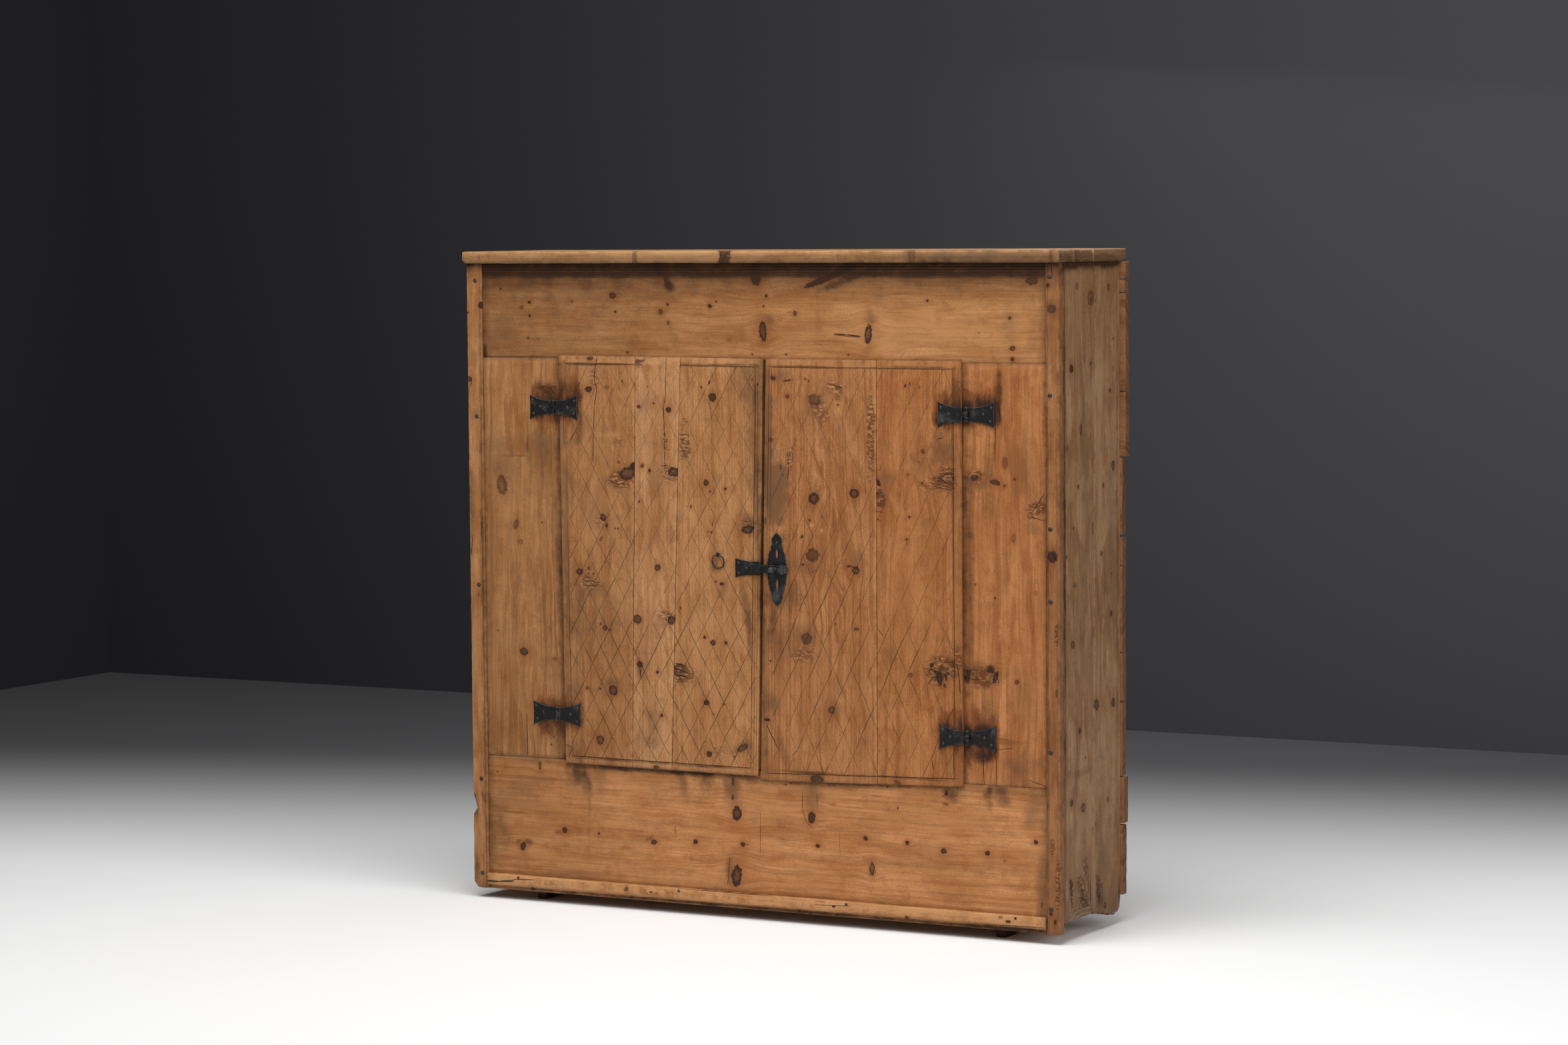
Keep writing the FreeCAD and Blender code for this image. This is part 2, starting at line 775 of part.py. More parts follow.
def leg_slots(x0, x1):
    """The slots that a staple's legs pass through, behind the iron's face."""
    legs = staple(x0, x1, staple_leg_depth, joint_clearance)
    return legs.common(block(0, case_width, iron_front, panel_back, 0, case_head))


def make_latch_bolt():
    nose = latch_line + door_gap / 2 - bolt_nose_reach
    bar = block(nose, latch_line + bolt_end_offset, bolt_front, iron_front - bolt_clearance,
                latch_level - bolt_height / 2, latch_level + bolt_height / 2)

    def front_edge(place, edge):
        return abs(place.y - bolt_front) < joint_clearance

    bar = rounded(bar, bolt_edge_round, front_edge)
    hole = Part.makeCylinder(knob_spigot_radius + pin_clearance, bolt_thickness,
                             Vector(knob_place, bolt_front, latch_level), along_y)
    return bar.cut(hole)


def make_bolt_knob():
    def at(distance):
        return Vector(knob_place, bolt_front - distance, latch_level)

    collar = Part.makeCylinder(knob_collar_radius, knob_collar_height, at(0), along_y * -1)
    stem = Part.makeCylinder(knob_stem_radius, knob_stem_length + knob_ball_radius, at(0), along_y * -1)
    ball = Part.makeSphere(knob_ball_radius, at(knob_stem_length + knob_ball_radius))
    spigot = Part.makeCylinder(knob_spigot_radius, bolt_thickness, at(0), along_y)
    return stem.fuse([collar, ball, spigot]).removeSplitter()


def make_keeper_plate():
    left = keeper_left_height / 2
    right = keeper_right_height / 2
    middle_x = between(keeper_left, keeper_right, 0.5)
    waist = between(left, right, 0.5) * keeper_waist_share

    def at(x, height):
        return Vector(x, iron_front, latch_level + height)

    edges = [Part.LineSegment(at(keeper_left, -left), at(keeper_left, left)).toShape(),
             Part.Arc(at(keeper_left, left), at(middle_x, waist), at(keeper_right, right)).toShape(),
             Part.LineSegment(at(keeper_right, right), at(keeper_right, -right)).toShape(),
             Part.Arc(at(keeper_right, -right), at(middle_x, -waist), at(keeper_left, -left)).toShape()]
    return Part.Face(Part.Wire(edges)).extrude(Vector(0, iron_thickness, 0))


def plate_nails(places):
    return [small_nail(Vector(x, iron_front, z), along_y) for x, z in places]


def make_ring_eye():
    centre = Vector(eye_place, door_front - eye_reach, eye_level)
    eye = Part.makeTorus(eye_radius, eye_wire, centre, along_x)
    back = eye_reach - eye_radius
    shank = Part.makeCylinder(eye_shank_radius, back + eye_shank_length,
                              Vector(centre.x, door_front - back, centre.z), along_y)
    collar = Part.makeCylinder(eye_collar_radius, eye_collar_height,
                               Vector(centre.x, door_front - eye_collar_height, centre.z), along_y)
    hole = Part.makeCylinder(eye_shank_radius + nail_clearance, eye_shank_length + nail_clearance,
                             Vector(centre.x, door_front, centre.z), along_y)
    drillings.append(hole)
    return eye.fuse([shank, collar]).removeSplitter()


def make_ring_pull():
    """The ring hangs in the eye with its foot against the door, so it leans a little."""
    drop = eye_radius - eye_wire - ring_wire - ring_slack
    top = Vector(eye_place, door_front - eye_reach, eye_level - drop)
    lean = math.asin((eye_reach - ring_wire - ring_slack) / (2 * ring_radius))
    hang = Vector(0, math.sin(lean), -math.cos(lean))
    centre = top + hang * ring_radius
    return Part.makeTorus(ring_radius, ring_wire, centre, hang.cross(along_x))


# Build every piece

pieces = {}
pieces["frieze_board"] = [make_frieze()]
pieces["left_stile"] = [make_stile(0, opening_left, stile_tenons[0])]
pieces["right_stile"] = [make_stile(opening_right, case_width, stile_tenons[1])]
pieces["lower_rail"] = [make_lower_rail()]
pieces["base_moulding"] = [make_base_moulding()]
pieces["left_face_batten"] = [make_left_batten()]
pieces["right_face_batten"] = [make_right_batten()]

sides = (("left", 0, side_thickness, left_front_foot_shares, left_rear_foot_shares),
         ("right", right_side_inner, case_width, right_front_foot_shares, right_rear_foot_shares))
for name, x0, x1, front_foot, rear_foot in sides:
    front_plank, rear_plank = make_side_planks(x0, x1, front_foot, rear_foot)
    pieces[name + "_side_front_plank"] = [front_plank]
    pieces[name + "_side_rear_plank"] = [rear_plank]

floor_front, floor_rear = make_floor_boards()
pieces["floor_front_board"] = [floor_front]
pieces["floor_rear_board"] = [floor_rear]
bearer_places = (bearer_inset, case_width - bearer_inset - bearer_width)
pieces["left_bearer"] = [make_bearer(bearer_places[0])]
pieces["right_bearer"] = [make_bearer(bearer_places[1])]

pieces["top_front_board"] = [make_top_board(-top_front_overhang, top_board_joint, True)]
pieces["top_rear_board"] = [make_top_board(top_board_joint + top_board_gap, back_rear, False)]
for number, (foot_share, head_share, overrun_share) in enumerate(back_board_shares, 1):
    pieces["back_board_%02d" % number] = [make_back_board(foot_share, head_share, overrun_share)]
pieces["lower_shelf"] = [make_shelf(lower_shelf_height)]
pieces["upper_shelf"] = [make_shelf(upper_shelf_height)]
pieces["shelf_cleats"] = make_shelf_cleats()

left_lip, left_body = left_door_outlines()
right_lip, right_body = right_door_outlines()
left_planks = part_into_planks(make_door_slab(left_lip, left_body), left_lip, left_joint_shares)
right_planks = part_into_planks(make_door_slab(right_lip, right_body), right_lip, right_joint_shares)
for number, plank in enumerate(left_planks, 1):
    pieces["left_door_plank_%d" % number] = [plank]
for number, plank in enumerate(right_planks, 1):
    pieces["right_door_plank_%d" % number] = [plank]
pieces["left_door_ledges"] = make_ledges(left_body, True)
pieces["right_door_ledges"] = make_ledges(right_body, False)

case_nails = []
left_door_nails = ledge_nails(left_body, left_lip, left_joint_shares, True)
right_door_nails = ledge_nails(right_body, right_lip, right_joint_shares, False)
hinge_pins = []
hinges = (("left", left_hinge_axis, -1, left_door_nails),
          ("right", case_width - right_hinge_axis, 1, right_door_nails))
for side, axis_x, case_way, door_nails in hinges:
    for height_name, level in zip(("lower", "upper"), hinge_levels):
        hinge_name = side + "_" + height_name + "_hinge"
        case_leaf = make_leaf(axis_x, level, case_way, panel_front, ((0, 1 / 3), (2 / 3, 1)))
        door_leaf = make_leaf(axis_x, level, -case_way, door_front, ((1 / 3, 2 / 3),))
        pieces[hinge_name + "_case_leaf"] = [case_leaf]
        pieces[hinge_name + "_door_leaf"] = [door_leaf]
        hinge_pins.append(make_hinge_pin(axis_x, level))
        case_nails += leaf_nails(axis_x, level, case_way, panel_front)
        door_nails += leaf_nails(axis_x, level, -case_way, door_front)
pieces["hinge_pins"] = hinge_pins

pieces["latch_plate"] = [make_latch_plate()]
pieces["latch_staples"] = [staple(x0, x1, staple_leg_depth, 0) for x0, x1 in staple_spans]
pieces["latch_bolt"] = [make_latch_bolt()]
pieces["bolt_knob"] = [make_bolt_knob()]
pieces["keeper_plate"] = [make_keeper_plate()]
keeper_span = (keeper_strap_left, keeper_strap_right)
pieces["keeper_strap"] = [staple(keeper_span[0], keeper_span[1], staple_leg_depth, 0)]
pieces["ring_eye"] = [make_ring_eye()]
pieces["ring_pull"] = [make_ring_pull()]
for x0, x1 in staple_spans:
    drillings.append(leg_slots(x0, x1))
drillings.append(leg_slots(keeper_span[0], keeper_span[1]))

right_door_nails += plate_nails([(latch_place + latch_half_width * x_share,
                                  latch_level + latch_half_height * z_share)
                                 for x_share, z_share in latch_nail_shares])
left_door_nails += plate_nails([(between(keeper_left, keeper_right, x_share),
                                 latch_level + keeper_left_height * z_share)
                                for x_share, z_share in keeper_nail_shares])


# Case nails

side_middles = (side_thickness / 2, case_width - side_thickness / 2)
left_nail_line = left_batten_width * left_batten_nail_place_share
right_nail_line = right_batten_edge + right_batten_width * right_batten_nail_place_share
batten_nails = ((left_nail_line, left_batten_nail_shares), (right_nail_line, right_batten_nail_shares))
for x, height_shares in batten_nails:
    for share in height_shares:
        case_nails.append(case_nail(Vector(x, 0, case_foot + case_height * share), along_y))
moulding_face = -moulding_proud
moulding_nail_level = case_foot + moulding_foot + moulding_height * moulding_nail_height_share
for share in moulding_nail_shares:
    seat = Vector(between(left_batten_width, right_batten_edge, share), moulding_face, moulding_nail_level)
    case_nails.append(small_nail(seat, along_y, moulding_nail_length))
top_face = case_head + top_thickness
for y0, y1 in ((batten_depth, top_board_joint), (side_joint_top, case_depth)):
    for share in top_nail_shares:
        for x in side_middles:
            seat = Vector(x, between(y0, y1, share), top_face)
            case_nails.append(sunk_nail(seat, along_z * -1, top_nail_length))
for share in frieze_nail_shares:
    seat = Vector(case_width * share, between(panel_front, panel_back, 0.5), top_face)
    case_nails.append(sunk_nail(seat, along_z * -1, top_nail_length))
for y0, y1 in ((bearer_front, floor_joint), (floor_joint, case_depth - bearer_back_gap)):
    for share in floor_nail_shares:
        for x in bearer_places:
            seat = Vector(x + bearer_width / 2, between(y0, y1, share), floor_top)
            case_nails.append(sunk_nail(seat, along_z * -1))
for height in (lower_shelf_height, upper_shelf_height):
    level = case_foot + height - cleat_section / 2
    for share in cleat_nail_shares:
        y = between(cleat_front, case_depth - cleat_back_gap, share)
        case_nails.append(case_nail(Vector(side_thickness + cleat_section, y, level), along_x * -1))
        case_nails.append(case_nail(Vector(right_side_inner - cleat_section, y, level), along_x))

back_nails = []
for foot_share, head_share, overrun_share in back_board_shares:
    is_wide = case_height * (head_share - foot_share) > wide_back_board
    for share in back_nail_shares if is_wide else (0.5,):
        level = case_foot + case_height * between(foot_share, head_share, share)
        for x in side_middles:
            back_nails.append(sunk_nail(Vector(x, back_rear, level), along_y * -1))

# Drill the boards and irons for their nails and staple legs, then write one file for each piece

fixings = {"case_nails": case_nails, "back_nails": back_nails, "left_door_nails": left_door_nails,
           "right_door_nails": right_door_nails}
undrilled = ("hinge_pins", "latch_staples", "latch_bolt", "bolt_knob",
             "keeper_strap", "ring_eye", "ring_pull")


def drilled(shape):
    holes = [hole for hole in drillings if hole.BoundBox.intersect(shape.BoundBox)]
    return shape.cut(holes) if holes else shape


os.makedirs("parts", exist_ok=True)
for name, shapes in {**pieces, **fixings}.items():
    if name in pieces and name not in undrilled:
        shapes = [drilled(shape) for shape in shapes]
    node = Part.makeCompound(shapes) if len(shapes) > 1 else shapes[0]
    node.translate(middle)
    node.exportStep("parts/" + name + ".step")
    print(name, len(node.Solids), round(node.Volume / 1000, 1), node.isValid())
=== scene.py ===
import math

import bmesh
import bpy
from mathutils import Matrix, Vector


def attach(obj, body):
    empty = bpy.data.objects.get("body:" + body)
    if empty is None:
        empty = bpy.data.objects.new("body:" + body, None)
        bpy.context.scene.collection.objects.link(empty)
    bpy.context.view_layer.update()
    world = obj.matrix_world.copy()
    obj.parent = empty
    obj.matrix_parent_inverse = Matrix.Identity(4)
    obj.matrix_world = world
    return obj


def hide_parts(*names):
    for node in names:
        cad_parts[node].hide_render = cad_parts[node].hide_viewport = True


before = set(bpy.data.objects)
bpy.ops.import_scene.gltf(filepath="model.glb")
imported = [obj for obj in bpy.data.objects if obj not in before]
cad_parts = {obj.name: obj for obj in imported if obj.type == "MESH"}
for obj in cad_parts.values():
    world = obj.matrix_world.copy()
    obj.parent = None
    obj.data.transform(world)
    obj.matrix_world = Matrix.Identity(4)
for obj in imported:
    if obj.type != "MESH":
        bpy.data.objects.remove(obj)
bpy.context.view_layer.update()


# The frieze board: one wide pine board across the top of the front, planed, with a band of
# scratched reeds along its head. It is nailed between the corner battens, so its ends show no end grain.

LEFT_FACE = 0.656
BATTEN_FACE = 0.13635


def metres(x, y, z):
    """A place given in millimetres from the left face, the face of the battens and the ground."""
    return Vector((x / 1000 - LEFT_FACE, y / 1000 - BATTEN_FACE, z / 1000))


def millimetres(place):
    """The other way round: from a place in metres."""
    return [(place[0] + LEFT_FACE) * 1000, (place[1] + BATTEN_FACE) * 1000, place[2] * 1000]


def between(first, second, share):
    """The point that lies this share of the way from the first to the second."""
    return tuple(a + (b - a) * share for a, b in zip(first, second))


class Wire:
    """A value that runs through a shader, so that its formulas can be written as ordinary sums."""

    def __init__(self, socket):
        self.socket = socket

    def __add__(self, other):
        return calc("ADD", self, other)

    def __sub__(self, other):
        return calc("SUBTRACT", self, other)

    def __rsub__(self, other):
        return calc("SUBTRACT", other, self)

    def __mul__(self, other):
        return calc("MULTIPLY", self, other)

    def __rmul__(self, other):
        return calc("MULTIPLY", other, self)

    def __truediv__(self, other):
        return calc("DIVIDE", self, other)

    def __pow__(self, other):
        return calc("POWER", self, other)

    def __abs__(self):
        return calc("ABSOLUTE", self)


def feed(node, inputs):
    """Wires or sets the inputs of a shader node. The keys are socket names or numbers."""
    for key, value in inputs.items():
        if isinstance(value, Wire):
            node.id_data.links.new(value.socket, node.inputs[key])
        else:
            node.inputs[key].default_value = value
    return node


def new_node(tree, kind, inputs=None, **settings):
    """A new shader node with its settings and inputs."""
    made = tree.nodes.new(kind)
    for name, value in settings.items():
        setattr(made, name, value)
    return feed(made, inputs or {})


def wired_node(kind, inputs, **settings):
    """A new node in the tree that its first wired input belongs to."""
    tree = next(value for value in inputs.values() if isinstance(value, Wire)).socket.id_data
    return new_node(tree, kind, inputs, **settings)


def calc(operation, *values):
    return Wire(wired_node("ShaderNodeMath", dict(enumerate(values)), operation=operation).outputs[0])


def times_plus(value, factor, more):
    return calc("MULTIPLY_ADD", value, factor, more)


def larger(first, second):
    return calc("MAXIMUM", first, second)


def smaller(first, second):
    return calc("MINIMUM", first, second)


def clamped(value):
    """The same sum, kept between nought and one."""
    value.socket.node.use_clamp = True
    return value


def ease(value, low, high, start=0.0, end=1.0):
    """Goes softly from start to end while the value goes from low to high."""
    return Wire(wired_node("ShaderNodeMapRange", {0: value, 1: low, 2: high, 3: start, 4: end},
                           interpolation_type="SMOOTHSTEP", clamp=False).outputs[0])


def blend(share, first, second, mode="MIX"):
    """Goes from the first colour to the second by a share."""
    return Wire(wired_node("ShaderNodeMix", {0: share, 6: first, 7: second}, data_type="RGBA",
                           blend_type=mode).outputs[2])


def darken(colour, share):
    return blend(1.0, colour, join_axes(share, share, share), "MULTIPLY")


def join_axes(x=0.0, y=0.0, z=0.0):
    return Wire(wired_node("ShaderNodeCombineXYZ", {0: x, 1: y, 2: z}).outputs[0])


def part_axes(vector):
    return [Wire(socket) for socket in wired_node("ShaderNodeSeparateXYZ", {0: vector}).outputs]


def dot(vector, direction):
    return Wire(wired_node("ShaderNodeVectorMath", {0: vector, 1: direction}, operation="DOT_PRODUCT").outputs["Value"])


def stretch(vector, shares):
    return Wire(wired_node("ShaderNodeVectorMath", {0: vector, 1: shares}, operation="MULTIPLY").outputs["Vector"])


def noise_node(vector, scale, detail, rough):
    return wired_node("ShaderNodeTexNoise", {"Vector": vector, "Scale": scale, "Detail": detail, "Roughness": rough})


def cloud(vector, scale, detail=2.0, rough=0.5):
    return Wire(noise_node(vector, scale, detail, rough).outputs["Fac"])


def scatter(vector, scale, amount, detail=3.0, rough=0.6):
    """A wandering offset along the face, the same for every mark of a board."""
    colour = Wire(noise_node(vector, scale, detail, rough).outputs["Color"])
    red, green = [Wire(socket) for socket in wired_node("ShaderNodeSeparateColor", {0: colour}).outputs][:2]
    return join_axes((red - 0.5) * amount, (green - 0.5) * amount)


def new_group(name, ins):
    """A shader group with its named inputs: a number, a vector of three or a colour of four."""
    tree = bpy.data.node_groups.new(name, "ShaderNodeTree")
    for title, value in ins.items():
        kind = "Float" if isinstance(value, float) else {3: "Vector", 4: "Color"}[len(value)]
        tree.interface.new_socket(title, in_out="INPUT", socket_type="NodeSocket" + kind).default_value = value
    return tree, {socket.name: Wire(socket) for socket in tree.nodes.new("NodeGroupInput").outputs}


def finish_group(tree, results):
    """Names what comes out of a group."""
    for title, value in results.items():
        kind = {"VALUE": "Float", "VECTOR": "Vector", "RGBA": "Color"}[value.socket.type]
        tree.interface.new_socket(title, in_out="OUTPUT", socket_type="NodeSocket" + kind)
    feed(tree.nodes.new("NodeGroupOutput"), results)
    return tree


def use(group, inputs):
    """Sets a group in the tree of its inputs, and gives what comes out of it by name."""
    made = wired_node("ShaderNodeGroup", inputs, node_tree=group)
    return {socket.name: Wire(socket) for socket in made.outputs}


def use_in_turn(group, name, value, entries):
    """Passes a value through a group once for each entry, so that every entry adds its mark."""
    for entry in entries:
        value = use(group, {name: value, **entry})[name]
    return value


NOUGHT = (0, 0, 0)
ELLIPSE = {"Face": NOUGHT, "Grit": NOUGHT, "Place": NOUGHT, "Half Size": (6, 6, 1), "Turn": 0.0}


def make_turned_reach():
    """How far a point lies from an ellipse's middle, in radii, with a ragged outline."""
    tree, given = new_group("turned_reach", ELLIPSE)
    face, grit, place, half = (part_axes(given[key]) for key in ("Face", "Grit", "Place", "Half Size"))
    right, up = face[0] - place[0], face[1] - place[1]
    cosine, sine = calc("COSINE", given["Turn"]), calc("SINE", given["Turn"])
    first = times_plus(right, cosine, up * sine) / half[0] + grit[0]
    second = (up * cosine - right * sine) / half[1] + grit[1]
    return finish_group(tree, {"Reach": calc("SQRT", times_plus(first, first, second * second)),
                               "Right": right, "Up": up})


def make_knot():
    """Adds one knot to the board: its pull on the grain (X), its darkness (Y) and its halo (Z)."""
    tree, given = new_group("knot", {"Marks": NOUGHT, "Across": (1, 0, 0), "Squeeze": (0.5, 0.24, 0), "Dark": 0.9,
                                     "Open": 0.5, **ELLIPSE})
    reach, right, up = use(turned_reach, {key: given[key] for key in ELLIPSE}).values()
    paler = ease(reach, 0.36, 0.86, 0.62, 0.0) * given["Open"]
    dark = ease(reach, 0.86, 1.14, 1.0, 0.0) * (1.0 - paler)
    dark = larger(dark, ease(reach, 0.1, 0.45, 0.35, 0.0)) * given["Dark"]
    halo = calc("EXPONENT", reach * reach * -0.22) * given["Dark"]
    half, squeeze, across = (part_axes(given[key]) for key in ("Half Size", "Squeeze", "Across"))
    first, second = right / half[0] * squeeze[0], up / half[1] * squeeze[1]
    bow = calc("EXPONENT", times_plus(first, first, second * second) * -1.0)
    pull = times_plus(right, across[0], up * across[1]) * bow * -0.8
    before = part_axes(given["Marks"])
    return finish_group(tree, {"Marks": join_axes(before[0] + pull, larger(before[1], dark), larger(before[2], halo))})


def make_patch():
    """Adds one soft patch on the face: dark stains and painted shade (X), grey weathering (Y) and pale wear and painted
    highlight (Z).
    """
    tree, given = new_group("patch", {"Patches": NOUGHT, "Amount": NOUGHT, **ELLIPSE})
    fall = ease(use(turned_reach, {key: given[key] for key in ELLIPSE})["Reach"], 0.1, 1.35, 1.0, 0.0)
    before, amount = part_axes(given["Patches"]), part_axes(given["Amount"])
    return finish_group(tree, {"Patches": join_axes(*[times_plus(amount[i], fall, before[i]) for i in range(3)])})


def make_seep():
    """Adds the stain that rust and handling leave about an iron plate, drawn out along the grain."""
    tree, given = new_group("seep", {"Seeps": 0.0, "Face": NOUGHT, "Streaks": 0.5, "Place": NOUGHT,
                                     "Half Size": (30, 10, 0), "Reach": (10, 30, 30), "Amount": 0.9})
    face, place, half, reach = (part_axes(given[key]) for key in ("Face", "Place", "Half Size", "Reach"))
    aside = larger(abs(face[0] - place[0]) - half[0], 0.0) / reach[0]
    up = face[1] - place[1]
    above = larger(up - half[1], 0.0) / reach[1]
    below = larger((up + half[1]) * -1.0, 0.0) / reach[2]
    gone = calc("SQRT", times_plus(below, below, times_plus(aside, aside, above * above)))
    gone = times_plus(given["Streaks"] - 0.5, 2.2, gone)
    return finish_group(tree, {"Seeps": larger(given["Seeps"], ease(gone, -0.1, 1.5, 1.0, 0.0) * given["Amount"])})


def make_crack():
    """Adds one crack or cut that runs between two points of the face, wandering a little."""
    tree, given = new_group("crack", {"Cuts": 0.0, "Face": NOUGHT, "Sway": NOUGHT, "From": NOUGHT, "To": NOUGHT,
                                      "Width": 1.0, "Wander": 2.0})
    face, sway, first, last = (part_axes(given[key]) for key in ("Face", "Sway", "From", "To"))
    run = [last[i] - first[i] for i in (0, 1)]
    off = [times_plus(sway[i], given["Wander"], face[i]) - first[i] for i in (0, 1)]
    share = times_plus(off[0], run[0], off[1] * run[1]) / times_plus(run[0], run[0], run[1] * run[1])
    share = smaller(larger(share, 0.0), 1.0)
    away = [off[i] - run[i] * share for i in (0, 1)]
    away = calc("SQRT", times_plus(away[0], away[0], away[1] * away[1]))
    taper = (share * (1.0 - share) * 4.0) ** 0.35
    half = given["Width"] * taper * 0.5
    return finish_group(tree, {"Cuts": larger(given["Cuts"], ease(away / (half + 0.02), 0.55, 1.5, 1.0, 0.0))})


def make_grain():
    """The figure of a sawn board: year rings about a heart below the face, fibres and soft mottling."""
    tree, given = new_group(
        "grain",
        {
            "Face": NOUGHT, "Along": (0, 1, 0), "Across": (1, 0, 0), "Pull": 0.0, "Heart": 0.0, "Depth": 60.0,
            "Lean": 0.03, "Ring": 4.0, "Wave": 30.0, "Seed": 0.0})
    seed = given["Seed"]
    along, across = dot(given["Face"], given["Along"]), dot(given["Face"], given["Across"])
    inward = part_axes(given["Face"])[2]
    bent = across + given["Pull"]
    slow = (cloud(join_axes(along * 0.0045, across * 0.02, seed), 1.0, 2.0) - 0.5) * given["Wave"]
    from_heart = bent - given["Heart"] + slow * 0.3
    below = (given["Depth"] + inward) + (slow + along * given["Lean"])
    ring = calc("SQRT", from_heart ** 2.0 + below ** 2.0) / given["Ring"]
    years = cloud(join_axes(ring, seed, along * 0.002), 1.0, 1.0, 0.4)
    fine = cloud(join_axes(along * 0.009, bent * 0.36, inward * 0.3 + seed), 1.0, 4.0, 0.7)
    broad = cloud(join_axes(along * 0.006, bent * 0.03, inward * 0.02 + seed), 1.0, 3.0, 0.55)
    pores = cloud(join_axes(along * 0.09, bent * 1.3, seed), 1.0, 2.0, 0.5)
    return finish_group(tree, {"Rings": ease(years, 0.48, 0.62), "Fibre": fine, "Mottle": broad,
                               "Pores": ease(pores, 0.66, 0.74)})


def chips(face):
    """The broken flakes of torn wood."""
    return ease(cloud(stretch(face, (0.1, 0.24, 0.1)), 1.0, 4.0, 0.66), 0.44, 0.56)


KNOT_BLACK, KNOT_BROWN = (0.016, 0.0072, 0.0046, 1), (0.075, 0.026, 0.012, 1)
RUST, RUST_BLACK = (0.11, 0.03, 0.006, 1), (0.013, 0.007, 0.0045, 1)
# the dark brown below serves for dirt and also for painted shade under the top and beside proud parts
DIRT_AND_SHADE, CRACK_BLACK = (0.034, 0.0115, 0.003, 1), (0.016, 0.007, 0.004, 1)


def make_old_pine():
    """Brings a board's figure, knots, cracks, stains, wear, painted shade and painted highlight together as its colour
    and gloss.
    """
    tree, given = new_group("old_pine", {
        "Rings": 0.0, "Fibre": 0.5, "Mottle": 0.5, "Pores": 0.0, "Marks": NOUGHT, "Cuts": 0.0, "Patches": NOUGHT,
        "Torn": 0.0, "Seeps": 0.0, "Worn": 0.0, "End": 0.0, "Dirt And Shade": 0.0, "Rub And Highlight": 0.0, "Face": NOUGHT, "Figure": 0.4,
        "Stretch": (0.06, 0.012, 0.04), "Honey": (0.36, 0.155, 0.058, 1), "Pale": (0.5, 0.27, 0.125, 1),
        "Late": (0.25, 0.088, 0.028, 1), "Grey": (0.2, 0.125, 0.072, 1)})
    face, late, pale, grey = given["Face"], given["Late"], given["Pale"], given["Grey"]
    dark_knot, halo = part_axes(given["Marks"])[1:]
    # the first channel of the patches is stains with painted shade, the last pale wear with painted highlight
    stain, weather, pale_wear_and_highlight = part_axes(given["Patches"])
    wide = cloud(face, 0.007, 4.0, 0.6)
    blotch = cloud(face, 0.022, 5.0, 0.68)
    speckle = cloud(face, 0.62, 3.0, 0.7)
    streak = cloud(stretch(face, given["Stretch"]), 1.0, 4.0, 0.66)
    # the plain wood
    tone = ease(given["Mottle"], 0.34, 0.66) * 0.6 + ease(wide, 0.38, 0.64) * 0.4
    colour = blend(tone, given["Honey"], pale)
    colour = blend(ease(blotch, 0.52, 0.68, 0.0, 0.42), colour, grey)
    colour = blend(ease(streak, 0.53, 0.68, 0.0, 0.34), colour, late)
    colour = blend(ease(blotch, 0.47, 0.34, 0.0, 0.34), colour, late)
    colour = blend(ease(streak, 0.46, 0.33, 0.0, 0.3), colour, pale)
    colour = blend(given["Rings"] * given["Figure"], colour, late)
    colour = darken(colour, ease(given["Fibre"], 0.32, 0.68, 0.83, 1.15))
    colour = darken(colour, ease(speckle, 0.34, 0.66, 0.72, 1.26))
    colour = blend(given["Pores"] * 0.5, colour, late)
    colour = blend(halo * 0.75, colour, late)
    # weathering, and pale wear with painted highlight
    colour = blend(clamped(weather * ease(speckle, 0.25, 0.6, 1.0, 1.7)), colour, grey)
    colour = blend(clamped(pale_wear_and_highlight * ease(given["Fibre"], 0.25, 0.6, 0.4, 1.0)), colour, pale)
    # the rubbed bands are pale wear, and on the heads of the doors also painted highlight
    wear = larger(given["Worn"], given["Rub And Highlight"]) * ease(cloud(face, 0.05, 5.0, 0.68), 0.4, 0.58)
    colour = blend(clamped(wear), colour, pale)
    # torn wood: paler, with its flakes painted pale where raised and dark where sunk, as light and shade would fall on
    # them
    torn = clamped(given["Torn"] * ease(speckle, 0.3, 0.45, 0.6, 1.3))
    colour = blend(torn, colour, blend(chips(face), late, pale))
    # knots and end grain
    knot_share = clamped(dark_knot * ease(speckle, 0.3, 0.6, 0.8, 1.6))
    colour = blend(knot_share, colour, blend(ease(speckle, 0.35, 0.7), KNOT_BLACK, KNOT_BROWN))
    colour = blend(given["End"] * 0.85, colour, darken(grey, ease(given["Rings"], 0.1, 0.9, 0.85, 0.45)))
    # rust, dirt and painted shade, and cracks
    seeped = given["Seeps"] * ease(streak, 0.36, 0.6, 0.75, 1.15)
    colour = blend(ease(seeped, 0.02, 0.5, 0.0, 0.75), colour, blend(ease(blotch, 0.4, 0.6), late, RUST))
    colour = blend(ease(seeped, 0.38, 1.05, 0.0, 0.9), colour, RUST_BLACK)
    dirt_and_shade_share = stain * ease(blotch, 0.35, 0.65, 1.0, 1.9) + given["Dirt And Shade"] * ease(blotch, 0.35, 0.65, 0.88, 1.08)
    colour = blend(smaller(dirt_and_shade_share, 0.97), colour, DIRT_AND_SHADE)
    colour = blend(given["Cuts"], colour, CRACK_BLACK)
    rough = clamped(ease(speckle, 0.3, 0.7, 0.5, 0.68) + weather * 0.15)
    return finish_group(tree, {"Base Color": colour, "Roughness": rough})


